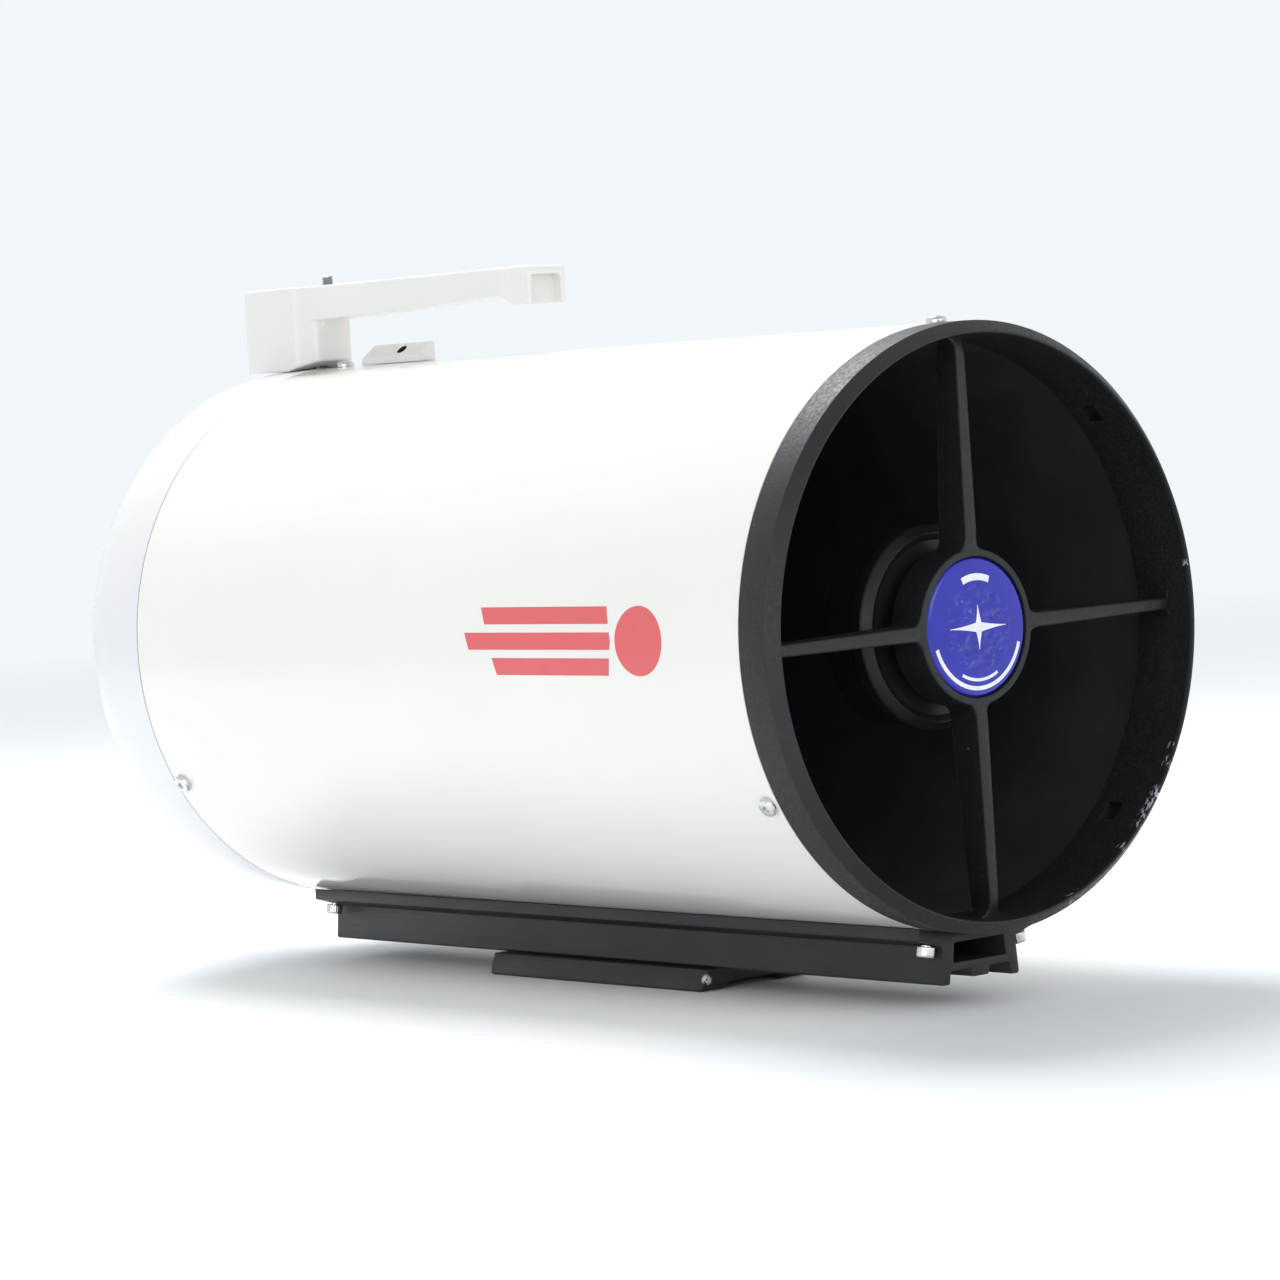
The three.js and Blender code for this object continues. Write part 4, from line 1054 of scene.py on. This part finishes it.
# ---- Rail, dovetail plate, handle and shoe ----
def make_rail():
    saddle = TUBE_R + 0.3
    reach = 31.8
    start = math.acos(reach / saddle)
    arc = []
    for i in range(41):
        angle = -math.pi + start + (math.pi - 2 * start) * i / 40
        arc.append((saddle * math.cos(angle), saddle * math.sin(angle)))
    half = [
        (reach, -116.6, 0.5),
        (19.8, -120.2, 1.0),
        (21.0, -134.0, 0.3),
        (20.4, -134.8, 0.3),
        (17.2, -134.8, 0.3),
        (16.7, -134.2, 0.2),
        (16.0, -129.8, 0.4),
        (5.0, -129.8, 0.4),
        (4.4, -132.9, 0.3),
        (3.7, -133.2, 0.2),
    ]
    other = [(-p[0], *p[1:]) for p in reversed(half)]
    body = along_y("rail_body", [*arc, *half, *other], 0.0, 375.0)
    channel = along_y("channel", [
        (-13.5, -119.05, 0.4),
        (13.5, -119.05, 0.4),
        (14.4, -126.8, 0.4),
        (-14.4, -126.8, 0.4),
    ], -2.0, 377.0)
    combine(body, [channel], "DIFFERENCE")
    bevelled(body, 0.25, 2, 60)
    finish_piece(body, "mounting_rail")


def make_plate():
    """The dovetail plate, rounded at its corners and at the lower edges of its ends."""
    low, high = local("dovetail_plate")
    outline = [
        (-25.0, high.z, 0.6),
        (-29.0, low.z + 0.9, 0.4),
        (-28.2, low.z, 0.4),
        (-15.8, low.z, 0.4),
        (-15.0, low.z + 2.8, 0.4),
        (15.0, low.z + 2.8, 0.4),
        (15.8, low.z, 0.4),
        (28.2, low.z, 0.4),
        (29.0, low.z + 0.9, 0.4),
        (25.0, high.z, 0.6),
    ]
    body = along_y("plate_body", outline, low.y, high.y)
    corner = 4.5
    plan = []
    for cx, cy, first in ((30 - corner, high.y - corner, 0), (corner - 30, high.y - corner, 90),
                          (corner - 30, low.y + corner, 180), (30 - corner, low.y + corner, 270)):
        for i in range(9):
            a = math.radians(first + 90 * i / 8)
            plan.append((cx + corner * math.cos(a), cy + corner * math.sin(a)))
    trim = loft("trim", [[at(x, y, z) for x, y in plan] for z in (low.z - 3, high.z + 3)])
    side = soften([
        (low.y - 1, high.z + 3),
        (low.y - 1, low.z + 8.5),
        (low.y, low.z + 8.5),
        (low.y, low.z, 4.0),
        (high.y, low.z, 4.0),
        (high.y, low.z + 8.5),
        (high.y + 1, low.z + 8.5),
        (high.y + 1, high.z + 3),
    ], 6)
    ends = loft("ends", [[at(x, y, z) for y, z in side] for x in (-40, 40)])
    combine(body, [trim, ends], "INTERSECT")
    wells = []
    for index in (1, 2):
        y = (middle(f"plate_bolt_{index}").y - FRONT_Y) / MM
        circle = [(6.2 * math.cos(TAU * i / 64), y + 6.2 * math.sin(TAU * i / 64))
                  for i in range(64)]
        wells.append(loft("well", [[at(px, py, z) for px, py in circle]
                                   for z in (low.z - 2, low.z + 5.4)]))
    combine(body, wells, "DIFFERENCE")
    bevelled(body, 0.35, 2, 40)
    finish_piece(body, "dovetail_plate", surface=EXTRA["plate"])


def make_handle():
    handle = from_cad("handle_casting", "carry_handle", 0.55, 9)
    finish_piece(handle, "carry_handle", surface=EXTRA["handle"])
    low, high = local("handle_stud")
    y = (low.y + high.y) / 2
    rows = []
    turns = 9
    for i in range(turns):
        z = high.z - 0.5 - 0.8 * (turns - i)
        rows += [(2.08, z + 0.4), (2.5, z + 0.8)]
    stud = lathe("stud_thread", [
        (0.0, rows[0][1] - 0.6),
        (2.1, rows[0][1] - 0.6),
        *rows,
        (2.0, high.z, 0.2),
        (0.0, high.z),
    ], segments=48)
    turned_to(stud, at(0, y, 0), (0, 0, 1))
    finish_piece(stud, "handle_stud", surface=EXTRA["stud"])


SHOE_HOLE = (-1.2, 330.0, 122.0)           # a point on the axis of the shoe's hole
SHOE_HOLE_LEAN = -37.0                     # degrees from upright
SHOE_HOLE_R = 2.5


def make_shoe():
    shoe = from_cad("shoe_block", "accessory_shoe", 0.35, 3)
    finish_piece(shoe, "accessory_shoe", surface=EXTRA["handle"])
    lean = math.radians(SHOE_HOLE_LEAN)
    along = Vector((math.sin(lean), 0, math.cos(lean)))

    def in_hole(x, y, z, _):
        gap = Vector((x, y, z)) - Vector(SHOE_HOLE)
        return (gap - along * gap.dot(along)).length < SHOE_HOLE_R

    # Painted shade: the inside of the shoe's hole is laid black.
    darken(shoe, in_hole)


make_tube()
make_print()
make_front_casting()
make_badge()
make_secondary_cell()
make_fasteners()
make_rear_cell()
make_visual_back()
make_focuser()
make_optics()
make_rail()
make_plate()
make_handle()
make_shoe()


# ---- Floor, light and camera ----
LIGHTS = (
    # name, place, aimed at, size in metres, watts
    ("overhead", (0.18, 0.72, 1.5), (0, 0, 0), (0.85, 0.85), 25.5),
    ("fill", (-1.9, -1.2, 0.48), (0, -0.05, 0.10), (1.5, 0.9), 8),
    ("front", (0.1, -2.2, 0.8), (0, -0.2, 0.12), (1.2, 0.9), 6.5),
)
WALL = (0.885, 0.925, 0.955)
WALL_GLOW = 0.95
CEILING_GLOW = 0.45
FLOOR_HALF = 14.0              # half the floor's width, metres
CAMERA_PLACE = (-1.2176, -1.43275, 0.2305)
CAMERA_AZIMUTH, CAMERA_DOWN, CAMERA_ROLL = -41.29, 2.84, 3.27      # degrees
CAMERA_LENS_MM = 126.36


def area_light(name, place, target, size, power):
    light = bpy.data.lights.new(name, "AREA")
    light.shape = "RECTANGLE"
    light.size, light.size_y = size
    light.energy = power
    obj = bpy.data.objects.new(name, light)
    obj.location = place
    direction = Vector(target) - Vector(place)
    obj.rotation_euler = direction.to_track_quat("-Z", "Y").to_euler()
    bpy.context.scene.collection.objects.link(obj)
    return obj


def floor_paper():
    """Pale paper that meets the wall's tone a little way out, so that no horizon shows."""
    s = Surface("studio_floor", (0.885, 0.897, 0.915), 0.6, Specular_IOR_Level=0.15)
    s.mottle(900, 0.004)
    x, y, _ = s.axes()
    away = s.math("SQRT", s.math("ADD", s.math("MULTIPLY", x, x), s.math("MULTIPLY", y, y)))
    far = s.ramp(away, 0.8, 3.2)
    glow = s.add("ShaderNodeEmission", {"Color": (*WALL, 1), "Strength": 1.0})
    blend = s.add("ShaderNodeMixShader", {0: far})
    s.tree.links.new(s.shader.outputs[0], blend.inputs[1])
    s.tree.links.new(glow.outputs[0], blend.inputs[2])
    s.tree.links.new(blend.outputs[0], s.tree.nodes["Material Output"].inputs[0])
    return s.mat


def studio_walls():
    """Bright walls, a little dimmer above the horizon, and a much dimmer ceiling."""
    world = bpy.context.scene.world or bpy.data.worlds.new("studio")
    bpy.context.scene.world = world
    world.use_nodes = True
    tree = world.node_tree
    background = tree.nodes["Background"]
    coordinates = tree.nodes.new("ShaderNodeTexCoord")
    split = tree.nodes.new("ShaderNodeSeparateXYZ")
    tree.links.new(coordinates.outputs["Generated"], split.inputs[0])
    tones = tree.nodes.new("ShaderNodeValToRGB")
    ramp = tones.color_ramp
    ramp.interpolation = "EASE"
    for place, level in ((0.0, 1.0), (0.10, 1.0), (0.24, WALL_GLOW), (0.62, WALL_GLOW),
                         (1.0, CEILING_GLOW)):
        stop = ramp.elements[0] if place == 0.0 else (
            ramp.elements[-1] if place == 1.0 else ramp.elements.new(place))
        stop.position = place
        stop.color = (*[c * level for c in WALL], 1)
    tree.links.new(split.outputs["Z"], tones.inputs[0])
    tree.links.new(tones.outputs[0], background.inputs["Color"])
    background.inputs["Strength"].default_value = 1.0


def make_stage():
    """The floor, the walls' glow and the lights."""
    size = FLOOR_HALF
    verts = [(-size, -size, 0), (size, -size, 0), (size, size, 0), (-size, size, 0)]
    mesh = bpy.data.meshes.new("floor")
    mesh.from_pydata(verts, [], [(0, 1, 2, 3)])
    floor = bpy.data.objects.new("floor", mesh)
    floor.data.materials.append(floor_paper())
    bpy.context.scene.collection.objects.link(floor)
    studio_walls()
    for light in LIGHTS:
        area_light(*light)


def make_camera():
    camera = bpy.data.cameras.new("camera")
    camera.sensor_width = 36.0
    camera.lens = CAMERA_LENS_MM
    camera.clip_end = 100.0
    obj = bpy.data.objects.new("camera", camera)
    bpy.context.scene.collection.objects.link(obj)
    azimuth, down, roll = (math.radians(v) for v in (CAMERA_AZIMUTH, CAMERA_DOWN, CAMERA_ROLL))
    forward = Vector((-math.sin(azimuth) * math.cos(down), math.cos(azimuth) * math.cos(down),
                      -math.sin(down)))
    level = Vector((math.cos(azimuth), math.sin(azimuth), 0))
    lowered = forward.cross(level)
    right = level * math.cos(roll) + lowered * math.sin(roll)
    up = right.cross(forward)
    turn = Matrix((right, up, -forward)).transposed()
    obj.matrix_world = Matrix.Translation(CAMERA_PLACE) @ turn.to_4x4()
    bpy.context.scene.camera = obj


make_stage()
make_camera()
scene = bpy.context.scene
scene.view_settings.view_transform = "Standard"
scene.view_settings.look = "None"
